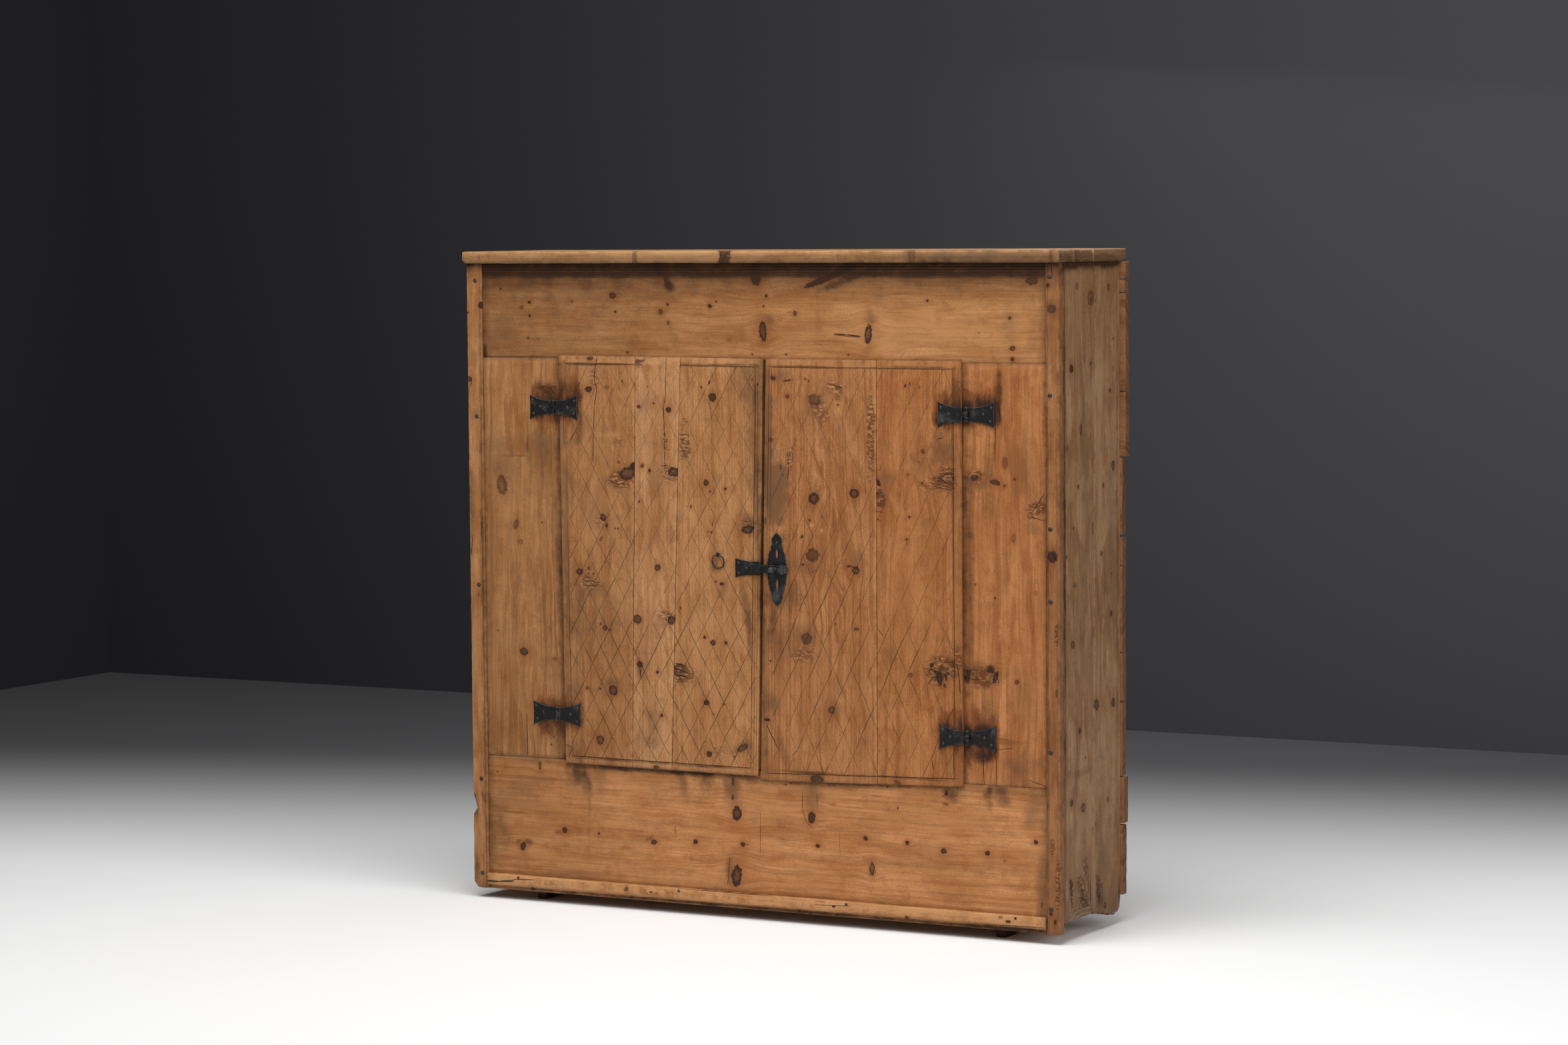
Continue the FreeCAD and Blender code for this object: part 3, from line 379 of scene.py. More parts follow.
def make_pine_relief():
    """The relief of the surface: raised fibres, fine pores, a faint unevenness and the depth of cracks."""
    tree, given = new_group("pine_relief", {"Face": NOUGHT, "Fibre": 0.5, "Pores": 0.0, "Cuts": 0.0, "Torn": 0.0})
    height = times_plus(given["Fibre"], 0.3, cloud(given["Face"], 0.09, 3.0, 0.6) * 0.9) - given["Pores"] * 0.1
    height = height + chips(given["Face"]) * given["Torn"] * 3.2
    height = height - ease(given["Torn"], 0.4, 0.62, 0.0, 2.4)
    return finish_group(tree, {"Height": height - given["Cuts"] * 2.0})


turned_reach = make_turned_reach()
knot = make_knot()
patch = make_patch()
seep = make_seep()
crack = make_crack()
grain = make_grain()
old_pine = make_old_pine()
pine_relief = make_pine_relief()

SPANS = {"front": (0, 2, 1), "side": (1, 2, 0), "flat": (0, 1, 2)}
SHARES = {"Honey": (0.92, 0.85, 0.72), "Pale": (1.3, 1.38, 1.5), "Late": (0.62, 0.42, 0.24), "Grey": (0.58, 0.62, 0.72)}


def shades(tone):
    """A board's four colours, from its middle one as the eye sees it."""
    middle = [((share / 255 + 0.055) / 1.055) ** 2.4 for share in tone]
    return {name: tuple(m * k for m, k in zip(middle, share)) + (1,) for name, share in SHARES.items()}


def new_finish(name):
    """A new material, with its surface shader."""
    material = bpy.data.materials.new(name)
    material.use_nodes = True
    return material, material.node_tree.nodes["Principled BSDF"]


def geometry(shader, name):
    return Wire(shader.id_data.nodes.new("ShaderNodeNewGeometry").outputs[name])


def raised(height, distance):
    """The bumps of a surface, from their height in this distance."""
    return Wire(wired_node("ShaderNodeBump", {"Height": height, "Distance": distance, "Strength": 0.9}).outputs[0])


def texture_space(shader):
    """The place on the piece and its normal, as they enter a material."""
    seen = shader.id_data.nodes.new("ShaderNodeTexCoord").outputs
    return Wire(seen["Object"]), Wire(seen["Normal"])


def pine(name, face="front", upright=True, knots=(), cracks=(), patches=(), torn=(), seeps=(), lattice=None,
         heart=(100, 60, 0.03), ring=4.0, wave=30.0, seed=0.0, figure=0.4, tone=(160, 112, 70), dirt_and_shade=(), rubbed=()):
    """The finish of one board, with the marks on its face in millimetres across and up:
    knots    (across, up, half width, half height, turn, darkness, how open its middle is)
    cracks   ((points along it), width, wander)
    patches  (across, up, half width, half height, any turn, (stains and painted shade, weathering, pale wear and
    painted highlight))
    torn     (across, up, half width, half height, any turn, amount)
    seeps    (across, up, half width, half height, (reach aside, up, down), amount)
    heart    (across, depth below the face, lean) of the middle of the year rings
    the darkening lists (axis, from, to, amount) paint shade under the top and beside and under proud parts, with
    soiling; rubbed is the same of pale wear, with painted highlight on the heads of the doors."""
    material, shader = new_finish(name)
    place, normal = texture_space(shader)
    laid_out = Wire(wired_node("ShaderNodeVectorMath",
                               {0: place, 1: (1000, 1000, 1000), 2: (LEFT_FACE * 1000, BATTEN_FACE * 1000, 0)},
                               operation="MULTIPLY_ADD").outputs[0])
    axes, normal_axes = part_axes(laid_out), part_axes(normal)
    u, v, w = SPANS[face]
    plane, flat = join_axes(axes[u], axes[v], axes[w]), join_axes(axes[u], axes[v])
    along, across = ((0, 1, 0), (1, 0, 0)) if upright else ((1, 0, 0), (0, 1, 0))

    def ellipse(grit, x, z, half_x, half_z, turn=0):
        return {"Face": flat, "Grit": grit, "Place": (x, z, 0), "Half Size": (half_x, half_z, 1),
                "Turn": math.radians(turn)}

    grit = scatter(plane, 0.17, 0.95)
    bowed = {"Across": across, "Squeeze": (0.5, 0.24, 0) if upright else (0.24, 0.5, 0)}
    whole_knots = [entry + (0, 0.95, 0.35)[len(entry) - 4:] for entry in knots]
    marks = use_in_turn(knot, "Marks", NOUGHT, (
        {**ellipse(grit, *entry[:5]), **bowed, "Dark": entry[5], "Open": entry[6]} for entry in whole_knots))
    sway = scatter(plane, 0.035, 1.0, 4.0, 0.65)
    cuts = use_in_turn(crack, "Cuts", 0.0, (
        {"Face": flat, "Sway": sway, "From": (*start, 0), "To": (*stop, 0), "Width": width, "Wander": wander}
        for points, width, wander in cracks for start, stop in zip(points, points[1:])))
    blur = scatter(plane, 0.03, 2.2, 5.0, 0.66)
    soft = use_in_turn(patch, "Patches", NOUGHT, (
        {**ellipse(blur, *entry[:-1]), "Amount": entry[-1]} for entry in patches))
    splinters = use_in_turn(patch, "Patches", NOUGHT, (
        {**ellipse(blur, *entry[:-1]), "Amount": (entry[-1], 0, 0)} for entry in torn))
    broken = part_axes(splinters)[0] if torn else 0.0
    streaks = cloud(join_axes(axes[u] * 0.055, axes[v] * 0.026), 1.0, 5.0, 0.62)
    stained = use_in_turn(seep, "Seeps", 0.0, (
        {"Face": flat, "Streaks": streaks, "Place": (x, z, 0), "Half Size": (half_x, half_z, 0), "Reach": reach,
         "Amount": amount} for x, z, half_x, half_z, reach, amount in seeps))
    if lattice:
        outside = ease(normal_axes[w], -0.3, -0.6)
        cuts, stained, broken = larger(cuts, lattice(plane)) * outside, stained * outside, broken * outside
    # the darkening gradients paint shade under the top and beside proud parts, with dirt; the rubbed ones are pale
    # wear, and painted highlight at the door heads
    undarkened, rub = 1.0, 0.0
    for axis, start, stop, amount in dirt_and_shade:
        undarkened = undarkened * ease(axes[axis], start, stop, 1.0, 1.0 - amount)
    for axis, start, stop, amount in rubbed:
        rub = larger(rub, ease(axes[axis], start, stop, 0.0, amount))

    laid = {"Face": plane, "Along": along, "Across": across, "Heart": heart[0], "Depth": heart[1], "Lean": heart[2],
            "Ring": ring, "Wave": wave, "Seed": seed}
    figured = use(grain, {**laid, "Pull": part_axes(marks)[0] if knots else 0.0})
    straight = use(grain, laid)
    worn = Wire(new_node(shader.id_data, "ShaderNodeAttribute", attribute_name="worn").outputs["Fac"])
    finish = use(old_pine, {
        **figured, **shades(tone), "Marks": marks, "Cuts": cuts, "Patches": soft, "Torn": broken, "Seeps": stained,
        "Worn": worn, "End": abs(normal_axes[v if upright else u]), "Dirt And Shade": 1.0 - undarkened, "Rub And Highlight": rub, "Face": plane,
        "Figure": figure, "Stretch": (0.05, 0.009, 0.03) if upright else (0.009, 0.05, 0.03)})
    height = use(pine_relief, {"Face": plane, "Fibre": straight["Fibre"], "Pores": straight["Pores"], "Cuts": cuts,
                               "Torn": broken})["Height"]
    feed(shader, {**finish, "Normal": raised(height, 0.0009), "Specular IOR Level": 0.22})
    return material


def clouds(name, size, depth=2):
    """A soft unevenness for pushing surfaces in and out."""
    texture = bpy.data.textures.new(name, "CLOUDS")
    texture.noise_scale = size
    texture.noise_depth = depth
    return texture


waviness = clouds("waviness", 0.11)
knocks = clouds("knocks", 0.017, 3)
CLOSE = 1e-5
SHARP = 1.2
RUBBED_BAND = 0.006


def select_only(*pieces):
    """Selects these pieces and nothing else; the last one is the active one."""
    bpy.ops.object.select_all(action="DESELECT")
    for piece in pieces:
        piece.select_set(True)
        bpy.context.view_layer.objects.active = piece


def pick(board, kind, wanted):
    """Selects the vertices, edges or faces of the board in edit mode that the test accepts."""
    bpy.ops.mesh.select_mode(type=kind)
    bpy.ops.mesh.select_all(action="DESELECT")
    mesh = bmesh.from_edit_mesh(board.data)
    for part in {"VERT": mesh.verts, "EDGE": mesh.edges, "FACE": mesh.faces}[kind]:
        if wanted(part):
            part.select = True
    mesh.select_flush_mode()
    bmesh.update_edit_mesh(board.data)


def cut_across(axis, place):
    """Cuts the whole mesh by a plane square to an axis, so that it has vertices there."""
    bpy.ops.mesh.select_all(action="SELECT")
    bpy.ops.mesh.bisect(plane_co=[place * (i == axis) for i in range(3)], plane_no=[int(i == axis) for i in range(3)])


def plough(board, lo, hi, axis, place, width, depth, face_axis, start, stop):
    """Sinks one groove along a face: a line of vertices is cut in and pushed below it."""
    line, first, last = metres(place, place, place)[axis], metres(*[start] * 3), metres(*[stop] * 3)
    for step in (-0.0005, 0, 0.0005):
        cut_across(axis, line + step * width)
    other = 3 - axis - face_axis
    face = lo[face_axis] if depth > 0 else hi[face_axis]
    pick(board, "VERT", lambda v: abs(v.co[axis] - line) < CLOSE and abs(v.co[face_axis] - face) < CLOSE
         and first[other] < v.co[other] < last[other])
    bpy.ops.transform.translate(value=[depth / 1000 * (i == face_axis) for i in range(3)])


def onto_outline(place, low, high, corners):
    """Moves a place in the block onto the board's real outline, given by its four corners."""
    foot_left, foot_right, head_right, head_left = corners
    wide = 0 if high[0] - low[0] > high[1] - low[1] else 1
    u, v = (place[wide] - low[wide]) / (high[wide] - low[wide]), (place[2] - low[2]) / (high[2] - low[2])
    place[wide], place[2] = between(between(foot_left, foot_right, u), between(head_left, head_right, u), v)
    return place


def work(piece, kind, **settings):
    """Puts one modifier on the active piece and keeps its result."""
    worker = piece.modifiers.new("work", kind)
    for name, value in settings.items():
        setattr(worker, name, value)
    bpy.ops.object.modifier_apply(modifier=worker.name)


def make_uneven(piece, texture, amount, middle, group=""):
    """Pushes the surface in and out by a cloud texture, and keeps the result in the mesh."""
    work(piece, "DISPLACE", texture=texture, texture_coords="LOCAL", strength=amount / 1000, mid_level=middle,
         vertex_group=group)


def sawn_board(name, low, high, cells=(12, 0, 12), grooves=(), arris=0.9, rounds=(), outline=None,
               wear=1.6, uneven=0.7, shape=None):
    """A board cut from a block: divided into cells, grooved, its arrises taken off, and worn uneven."""
    lo, hi = metres(*low), metres(*high)
    bpy.ops.object.select_all(action="DESELECT")
    bpy.ops.mesh.primitive_cube_add(size=1, location=(lo + hi) / 2)
    board = bpy.context.object
    board.name = board.data.name = name
    board.scale = hi - lo
    bpy.ops.object.transform_apply(location=True, rotation=True, scale=True)
    bpy.ops.object.mode_set(mode="EDIT")
    for axis, cell in enumerate(cells):
        count = round((high[axis] - low[axis]) / cell) if cell else 1
        if count > 1:
            pick(board, "EDGE", lambda e: abs((e.verts[0].co - e.verts[1].co)[axis]) > 0.9 * (hi[axis] - lo[axis]))
            bpy.ops.mesh.subdivide(number_cuts=count - 1)
    bpy.ops.mesh.select_mode(type="VERT")
    for groove in grooves:
        plough(board, lo, hi, *groove)
    for width, wanted in rounds:
        pick(board, "EDGE", lambda e: e.calc_face_angle(0) > SHARP and wanted(e, lo, hi))
        bpy.ops.mesh.bevel(offset=width / 1000, segments=4, affect="EDGES")
    pick(board, "EDGE", lambda e: e.calc_face_angle(0) > SHARP)
    bpy.ops.mesh.bevel(offset=arris / 1000, segments=2, affect="EDGES")
    bpy.ops.object.mode_set(mode="OBJECT")
    rubbed = []
    for vertex in board.data.vertices:
        spans = sorted(min(abs(vertex.co[a] - lo[a]), abs(hi[a] - vertex.co[a])) for a in range(3))
        rubbed.append(max(0.0, 1 - spans[1] / RUBBED_BAND))
    board.data.attributes.new("worn", "FLOAT", "POINT").data.foreach_set("value", rubbed)
    edges = board.vertex_groups.new(name="arris")
    for number, share in enumerate(rubbed):
        if share:
            edges.add([number], share, "REPLACE")
    for vertex in board.data.vertices if outline or shape else ():
        place = millimetres(vertex.co)
        if outline:
            place = onto_outline(place, low, high, outline)
        vertex.co = metres(*(shape(*place) if shape else place))
    make_uneven(board, waviness, uneven, 0.5)
    make_uneven(board, knocks, -wear, 0.25, "arris")
    bpy.ops.object.shade_smooth_by_angle(angle=math.radians(35))
    return board


def settle(piece, node, body, material):
    """Gives a finished piece its material and its place in the cupboard."""
    piece.data.materials.clear()
    piece.data.materials.append(material)
    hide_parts(node)
    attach(piece, body)


def dress(material, *nodes):
    """Gives a material to solids that are shown as they are."""
    for node in nodes:
        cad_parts[node].data.materials.clear()
        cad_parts[node].data.materials.append(material)


LEFT_EDGE, RIGHT_EDGE = 35, 1284
FACE, BEHIND = 5, 25
FOOT_OF_DOORS, HEAD_OF_DOORS, HEAD = 295, 1101, 1290
REED_BAND = 24
REEDS = (0.28, 0.53, 0.77, 0.95)
frieze_knots = (
    (79, 1239, 2, 2), (127, 1202, 5, 4, 0, 0.45), (146, 1212, 3.5, 3), (146, 1185, 2.6, 3), (142, 1141, 2, 1.6),
    (246, 1214, 2.4, 2, 0, 0.7), (340, 1226, 8, 6, 0, 0.72), (346, 1194, 2.6, 2.4), (443, 1283, 9, 17, 25, 0.95, 0.1),
    (464, 1256, 6, 9, 30, 0.8), (450, 1194, 5, 5, 0, 0.75, 0.7), (466, 1209, 3, 3, 0, 0.8), (467, 1173, 3, 3.5, 0, 0.6),
    (561, 1206, 4.6, 4.2, 0, 0.85, 0.2), (575, 1215, 2, 2), (373, 1114, 2.4, 1.6), (604, 1141, 5, 4, 0, 0.3),
    (663, 1268, 11, 23, 8, 0.95, 0.15), (687, 1226, 3, 3), (681, 1206, 2, 2), (679, 1157, 8, 20, 4, 0.95, 0.75),
    (750, 1193, 4, 4.4, 0, 0.9, 0.8), (822, 1262, 52, 6.5, 21, 0.95, 0.0), (862, 1280, 26, 9, 22, 0.95, 0.0),
    (909, 1153, 7.5, 19, -6, 0.95, 0.75), (1036, 1218, 2.6, 2.6), (1046, 1271, 8, 6, 20, 0.95, 0.1),
    (1052, 1289, 8, 4, 0, 0.95, 0.1), (927, 1290, 9, 4, 0, 0.9, 0.1), (1212, 1268, 3.2, 6, 0, 0.9, 0.8),
    (1255, 1256, 13, 8, 0, 0.6, 0.1), (1209, 1186, 3, 3), (1214, 1129, 6, 5, 0, 0.7), (1214, 1108, 4, 4, 0, 0.85),
    (866, 1114, 1.6, 1.4), (730, 1113, 2.6, 1.5), (655, 1113, 1.6, 1.6), (1144, 1158, 1.2, 1))
frieze_patches = (
    (280, 1190, 330, 110, (0.05, 0, 0)), (1000, 1180, 240, 50, (0, 0, 0.35)), (470, 1243, 16, 10, (0.35, 0.3, 0)),
    (850, 1252, 60, 9, 18, (0.3, 0.5, 0)), (800, 1170, 8, 60, (0.10, 0, 0)), (37, 1112, 9, 20, (0.5, 0.2, 0)),
    (1210, 1170, 20, 50, (0, 0.25, 0)), (230, 1120, 120, 14, 2, (0, 0, 0.35)), (600, 1120, 90, 12, (0, 0, 0.3)),
    (1000, 1150, 180, 30, (0, 0, 0.4)), (75, 1160, 50, 60, (0.05, 0.3, 0)), (690, 1180, 14, 12, 30, (0.2, 0.3, 0)),
    (915, 1185, 12, 20, 20, (0.15, 0.3, 0)))
frieze_cracks = ((((834, 1153.5), (862, 1151.5), (893, 1149)), 2.2, 1.5), (((838, 1151), (893, 1147)), 1.0, 1.5),
                 (((35, 1103), (220, 1104)), 0.8, 1.0), (((742, 1196), (733, 1195)), 0.6, 1.0))
frieze = sawn_board("frieze_board", (LEFT_EDGE, FACE, HEAD_OF_DOORS), (RIGHT_EDGE, BEHIND, HEAD), cells=(12, 0, 9),
                    wear=0.8, uneven=0.9,
                    grooves=[(2, HEAD - REED_BAND * share, 2.6, 1.6, 1, 30, HEAD) for share in REEDS])
settle(frieze, "frieze_board", "case",
       pine("frieze_pine", upright=False, knots=frieze_knots, patches=frieze_patches, cracks=frieze_cracks,
            heart=(1150, 70, 0.012), ring=6.0, seed=1.0, figure=0.22, tone=(160, 110, 66),
            # painted shade: darker under the top's overhang along the reeded head and over the left part, and at both
            # ends beside the battens; also darker towards the doors
            dirt_and_shade=(
                (2, 1257, 1266, 0.97), (2, 1195, 1272, 0.62), (0, 800, 200, 0.26), (0, 60, 36, 0.4),
                (0, 1262, 1284, 0.35), (2, 1108, 1100, 0.35))))


# The two stiles: upright boards beside the doors, tenoned into the frieze and the lower rail.
# They carry the hinges, and the wood round these is stained dark by rust and handling.

left_stile_knots = (
    (76, 844, 11, 20, 8, 0.55, 0.75), (108, 765, 6, 11, -20, 0.5, 0.5), (118, 730, 7, 6, 0, 0.3),
    (124, 508, 10, 8, 0, 0.75, 0.5), (196, 496, 6, 4, 0, 0.35), (171, 1041, 7, 5, 0, 0.5, 0.6),
    (200, 1041, 8, 5, 0, 0.6, 0.6), (47, 841, 6, 5, 0, 0.15), (180, 345, 1.6, 1.6), (192, 338, 1.5, 1.5),
    (186, 322, 1.5, 1.5), (170, 770, 1.5, 1.5), (62, 548, 1.4, 1.4))
left_stile_patches = (
    (178, 1040, 30, 16, (0.3, 0.1, 0)), (138, 940, 3.4, 44, (0.34, 0, 0)), (112, 903, 36, 2.4, (0.22, 0, 0)),
    (200, 345, 24, 40, (0.2, 0, 0)), (199, 775, 8, 84, 1, (0.12, 0, 0)), (75, 900, 40, 60, 25, (0.05, 0.3, 0)),
    (130, 562, 4, 30, (0, 0, 0.9)), (90, 1080, 60, 30, (0, 0, 0.35)), (170, 920, 40, 40, 35, (0.1, 0.35, 0)),
    # the long dark band beside the door's edge is painted shade of the door's lip
    (218, 700, 16, 420, (0.3, 0, 0)), (180, 880, 14, 90, 2, (0.16, 0, 0)), (172, 560, 12, 120, (0.12, 0, 0)),
    (60, 350, 40, 60, (0.12, 0.1, 0)), (48, 700, 12, 400, (0, 0.2, 0.1)), (106, 590, 6, 60, (0.18, 0, 0)))
left_stile_cracks = ((((128, 383), (129, 297)), 1.3, 4.0),
                     (((143, 340), (148, 300)), 0.5, 2.0))
left_stile = sawn_board("left_stile", (LEFT_EDGE, FACE, FOOT_OF_DOORS), (230, BEHIND, HEAD_OF_DOORS), wear=0.5,
                        outline=((35, 293.1), (230, 293.8), (230, 1101), (35, 1101)))
settle(left_stile, "left_stile", "case",
       pine("left_stile_pine", knots=left_stile_knots, patches=left_stile_patches, cracks=left_stile_cracks,
            heart=(110, 30, 0.03), ring=7.0, wave=46, seed=2.0, figure=0.42, tone=(151, 104, 63),
            seeps=((184, 1004, 24, 9, (13, 38, 34), 0.92), (184, 386, 24, 8, (11, 26, 44), 0.74)),
            torn=((187, 1034, 30, 14, 0.8), (80, 845, 18, 26, 10, 0.4)),
            # darker towards the door's edge: painted shade beside the door's lip; also darker towards the batten, the
            # rail and the frieze
            dirt_and_shade=((0, 195, 228, 0.5), (0, 46, 35, 0.4), (2, 304, 294, 0.4), (2, 1092, 1101, 0.3))))

right_stile_knots = (
    (1215, 770, 5, 9, -10, 0.35, 0.3), (1221, 497, 5, 5, 0, 0.6, 0.2), (1198, 912, 6, 12, 0, 0.4, 0.1),
    (1218, 882, 3, 3, 0, 0.6), (1197, 869, 3, 3, 0, 0.6), (1133, 883, 8, 6, 0, 0.75, 0.4),
    (1177, 875, 11, 5, -10, 0.7, 0.3), (1177, 505, 4.5, 12, -20, 0.8, 0.2), (1146, 357, 9, 8, 0, 0.8, 0.3),
    (1262, 668, 4, 4, 0, 0.3, 0.8), (1176, 655, 1.5, 2.5), (1135, 680, 1.5, 1.5), (1136, 357, 3, 5, 0, 0.9))
right_stile_patches = (
    (1186, 1056, 9, 40, (0.5, 0, 0)), (1176, 940, 4, 40, (0.4, 0, 0)), (1186, 1002, 5, 24, (0.7, 0.2, 0)),
    (1265, 830, 26, 34, -35, (0.12, 0.5, 0)), (1260, 790, 20, 14, (0, 0.4, 0)), (1140, 880, 34, 22, (0.1, 0.55, 0)),
    # about the torn hole: the pale line along its foot is a painted highlight, and the dark marks at its left are
    # painted shadow
    (1150, 510, 44, 24, (0.3, 0.3, 0)), (1168, 520, 12, 10, -35, (0.5, 0, 0)), (1145, 487, 36, 1.3, (0, 0, 1.6)),
    (1118, 502, 4, 14, (0.6, 0, 0)), (1150, 355, 26, 18, (0.5, 0, 0)), (1186, 386, 20, 3, (0.4, 0, 0)),
    # the long dark band beside the door's edge is painted shade of the door's lip
    (1120, 700, 14, 420, (0.32, 0, 0)), (1164, 880, 12, 90, (0.14, 0, 0)), (1158, 440, 20, 60, (0.2, 0, 0)),
    (1145, 740, 26, 90, (0, 0, 0.3)), (1235, 900, 40, 60, (0.05, 0.25, 0)), (1240, 470, 30, 60, (0, 0.25, 0)),
    (1230, 330, 50, 44, (0.15, 0.25, 0)), (1200, 380, 40, 5, 4, (0.25, 0.1, 0)))
right_stile_cracks = (
    (((1149, 373), (1152, 296)), 1.2, 4.0), (((1177, 367), (1178, 294)), 0.9, 2.0),
    # the line along the top of the torn hole is painted shadow inside its broken edge
    (((1114, 515), (1150, 517), (1176, 511)), 1.1, 7.0), (((1160, 524), (1184, 506)), 0.8, 9.0),
    (((1135, 506), (1142, 498)), 0.9, 5.0), (((1122, 497), (1160, 500)), 0.4, 5.0),
    (((1178, 512), (1184, 492)), 1.4, 8.0), (((1254, 820), (1281, 857)), 1.4, 6.0),
    (((1250, 812), (1280, 804)), 1.1, 5.0), (((1262, 815), (1280, 832)), 0.8, 6.0),
    (((1180, 366), (1215, 371)), 0.8, 4.0), (((1176, 1020), (1180, 950)), 1.0, 3.0),
    (((1244, 312), (1284, 300)), 1.0, 4.0))
right_stile = sawn_board("right_stile", (1098, FACE, FOOT_OF_DOORS), (RIGHT_EDGE, BEHIND, HEAD_OF_DOORS), wear=0.5,
                         outline=((1098, 296.8), (1284, 297.4), (1284, 1101), (1098, 1101)))
settle(right_stile, "right_stile", "case",
       pine("right_stile_pine", knots=right_stile_knots, patches=right_stile_patches, cracks=right_stile_cracks,
            heart=(1214, 26, 0.03), ring=6.0, wave=40, seed=3.0, figure=0.4, tone=(160, 104, 60),
            seeps=((1146, 1005, 32, 10, (12, 42, 18), 0.95), (1144, 384, 28, 8, (12, 46, 40), 0.95)),
            torn=(
                (1145, 503, 36, 18, 1.3), (1264, 826, 22, 28, -35, 1.1), (1138, 884, 20, 14, 0.9),
                (1152, 357, 22, 16, 0.7)),
            # darker towards the door's edge: painted shade beside the door's lip; also darker towards the batten, the
            # rail and the frieze
            dirt_and_shade=((0, 1124, 1106, 0.5), (0, 1272, 1285, 0.4), (2, 304, 294, 0.4), (2, 1092, 1101, 0.35))))


# The lower rail: the widest board of the front, from the doors down to the floor, cut from a trunk
# with many small knots. Dirty water has run down from the doors and dried on it.

rail_knots = (
    (158, 277, 3, 8, 0, 0.75, 0.8), (215, 150, 6, 6, 0, 0.85, 0.3), (295, 148, 2.6, 2.4),
    (116, 111, 6, 9, -20, 0.85, 0.4), (423, 139, 7, 5, 10, 0.8, 0.4), (518, 146, 5, 5, 0, 0.9, 0.2),
    (612, 208, 10, 14, 0, 0.95, 0.7), (603, 240, 3, 6, 0, 0.6, 0.3), (604, 271, 3, 9, 0, 0.6, 0.3),
    (611, 85, 11, 21, -8, 0.95, 0.72), (626, 148, 5, 4.5, 0, 0.9, 0.3), (779, 211, 8, 12, -10, 0.9, 0.3),
    (792, 156, 5, 4, 0, 0.9, 0.2), (897, 178, 5.5, 4, -15, 0.9, 0.4), (987, 175, 4.6, 4.4, 0, 0.9, 0.3),
    (1065, 164, 6, 5, 0, 0.9, 0.5), (1158, 166, 5.4, 4.4, 0, 0.9, 0.3), (1260, 194, 4.6, 4, 0, 0.9, 0.3),
    (911, 119, 5, 12, 0, 0.75, 0.75), (1071, 276, 3, 4), (1070, 255, 6, 3, 0, 0.5), (472, 168, 2, 8, 0, 0.3),
    (57, 260, 1.4, 1.4), (350, 284, 1.8, 1.2), (722, 272, 2, 1.2), (734, 276, 2, 1.2), (945, 281, 2, 1.2),
    (1272, 75, 2, 6, 0, 0.5), (967, 241, 1.2, 2), (826, 240, 6, 3, 20, 0.2), (1194, 154, 3, 3, 0, 0.2))
rail_patches = (
    (102, 179, 26, 4, (0.28, 0, 0)), (250, 268, 34, 24, -30, (0.38, 0.2, 0)), (268, 250, 12, 40, (0.15, 0.35, 0)),
    (300, 262, 20, 34, (0.1, 0.4, 0)), (490, 262, 14, 40, 15, (0.3, 0.3, 0)), (540, 272, 24, 30, (0.3, 0.35, 0)),
    # the long dark bands along the head are painted shade under the doors' lips, with dirt
    (600, 258, 20, 44, (0.2, 0.4, 0)), (640, 280, 24, 14, (0.3, 0.2, 0)), (440, 285, 240, 8, (0.45, 0.2, 0)),
    (880, 284, 240, 10, 2, (0.4, 0.15, 0)), (780, 255, 24, 38, (0.1, 0.45, 0)), (596, 95, 10, 36, (0.3, 0.2, 0)),
    (1160, 275, 10, 24, (0.5, 0.1, 0)), (1190, 278, 22, 22, (0.2, 0.45, 0)), (1085, 272, 26, 16, (0.35, 0.1, 0)),
    (1255, 255, 22, 40, (0.1, 0.35, 0)), (1270, 100, 12, 70, (0.15, 0.35, 0)), (60, 160, 30, 90, (0.14, 0.1, 0)),
    (120, 230, 70, 30, 20, (0.08, 0.2, 0)), (350, 260, 90, 24, (0, 0, 0.4)), (680, 230, 60, 34, (0, 0, 0.5)),
    (1050, 215, 180, 30, (0, 0, 0.35)), (500, 70, 260, 18, (0, 0, 0.25)), (273, 190, 4, 90, (0.12, 0, 0)),
    (200, 145, 10, 6, (0.3, 0, 0)), (413, 146, 12, 6, 30, (0.3, 0, 0)), (104, 118, 8, 8, (0.3, 0, 0)),
    (130, 120, 8, 8, 40, (0.3, 0.3, 0)), (240, 62, 80, 12, (0.0, 0.4, 0)), (1000, 135, 280, 12, (0.08, 0, 0)))
rail_cracks = (
    (((759, 262), (758, 225), (768, 200), (778, 192)), 0.9, 3.0), (((790, 262), (792, 230)), 0.6, 3.0),
    (((665, 215), (664, 130)), 0.6, 1.5), (((840, 190), (841, 135)), 0.5, 1.5), (((506, 130), (509, 105)), 0.5, 2.0),
    (((904, 132), (906, 104)), 0.8, 3.0), (((914, 128), (918, 110)), 0.7, 3.0), (((596, 120), (590, 65)), 1.0, 6.0),
    (((910, 262), (930, 261)), 0.8, 3.0), (((632, 148), (640, 149)), 0.8, 1.0),
    (((1060, 268), (1072, 274)), 0.9, 3.0))
lower_rail = sawn_board("lower_rail", (LEFT_EDGE, FACE, 24), (RIGHT_EDGE, BEHIND, 296), wear=0.7, uneven=0.9,
                        outline=((35, 24), (1284, 24), (1284, 297.2), (35, 292.9)))
settle(lower_rail, "lower_rail", "case",
       pine("lower_rail_pine", upright=False, knots=rail_knots, patches=rail_patches, cracks=rail_cracks,
            heart=(150, 40, 0.01), ring=5.0, wave=24, seed=4.0, figure=0.24, tone=(173, 118, 72),
            # darker towards the head: painted shade under the doors; also darker towards the ends, the left and the
            # foot
            dirt_and_shade=((2, 272, 292, 0.42), (0, 500, 60, 0.16), (0, 56, 36, 0.4), (0, 1262, 1284, 0.4), (2, 64, 50, 0.35))))


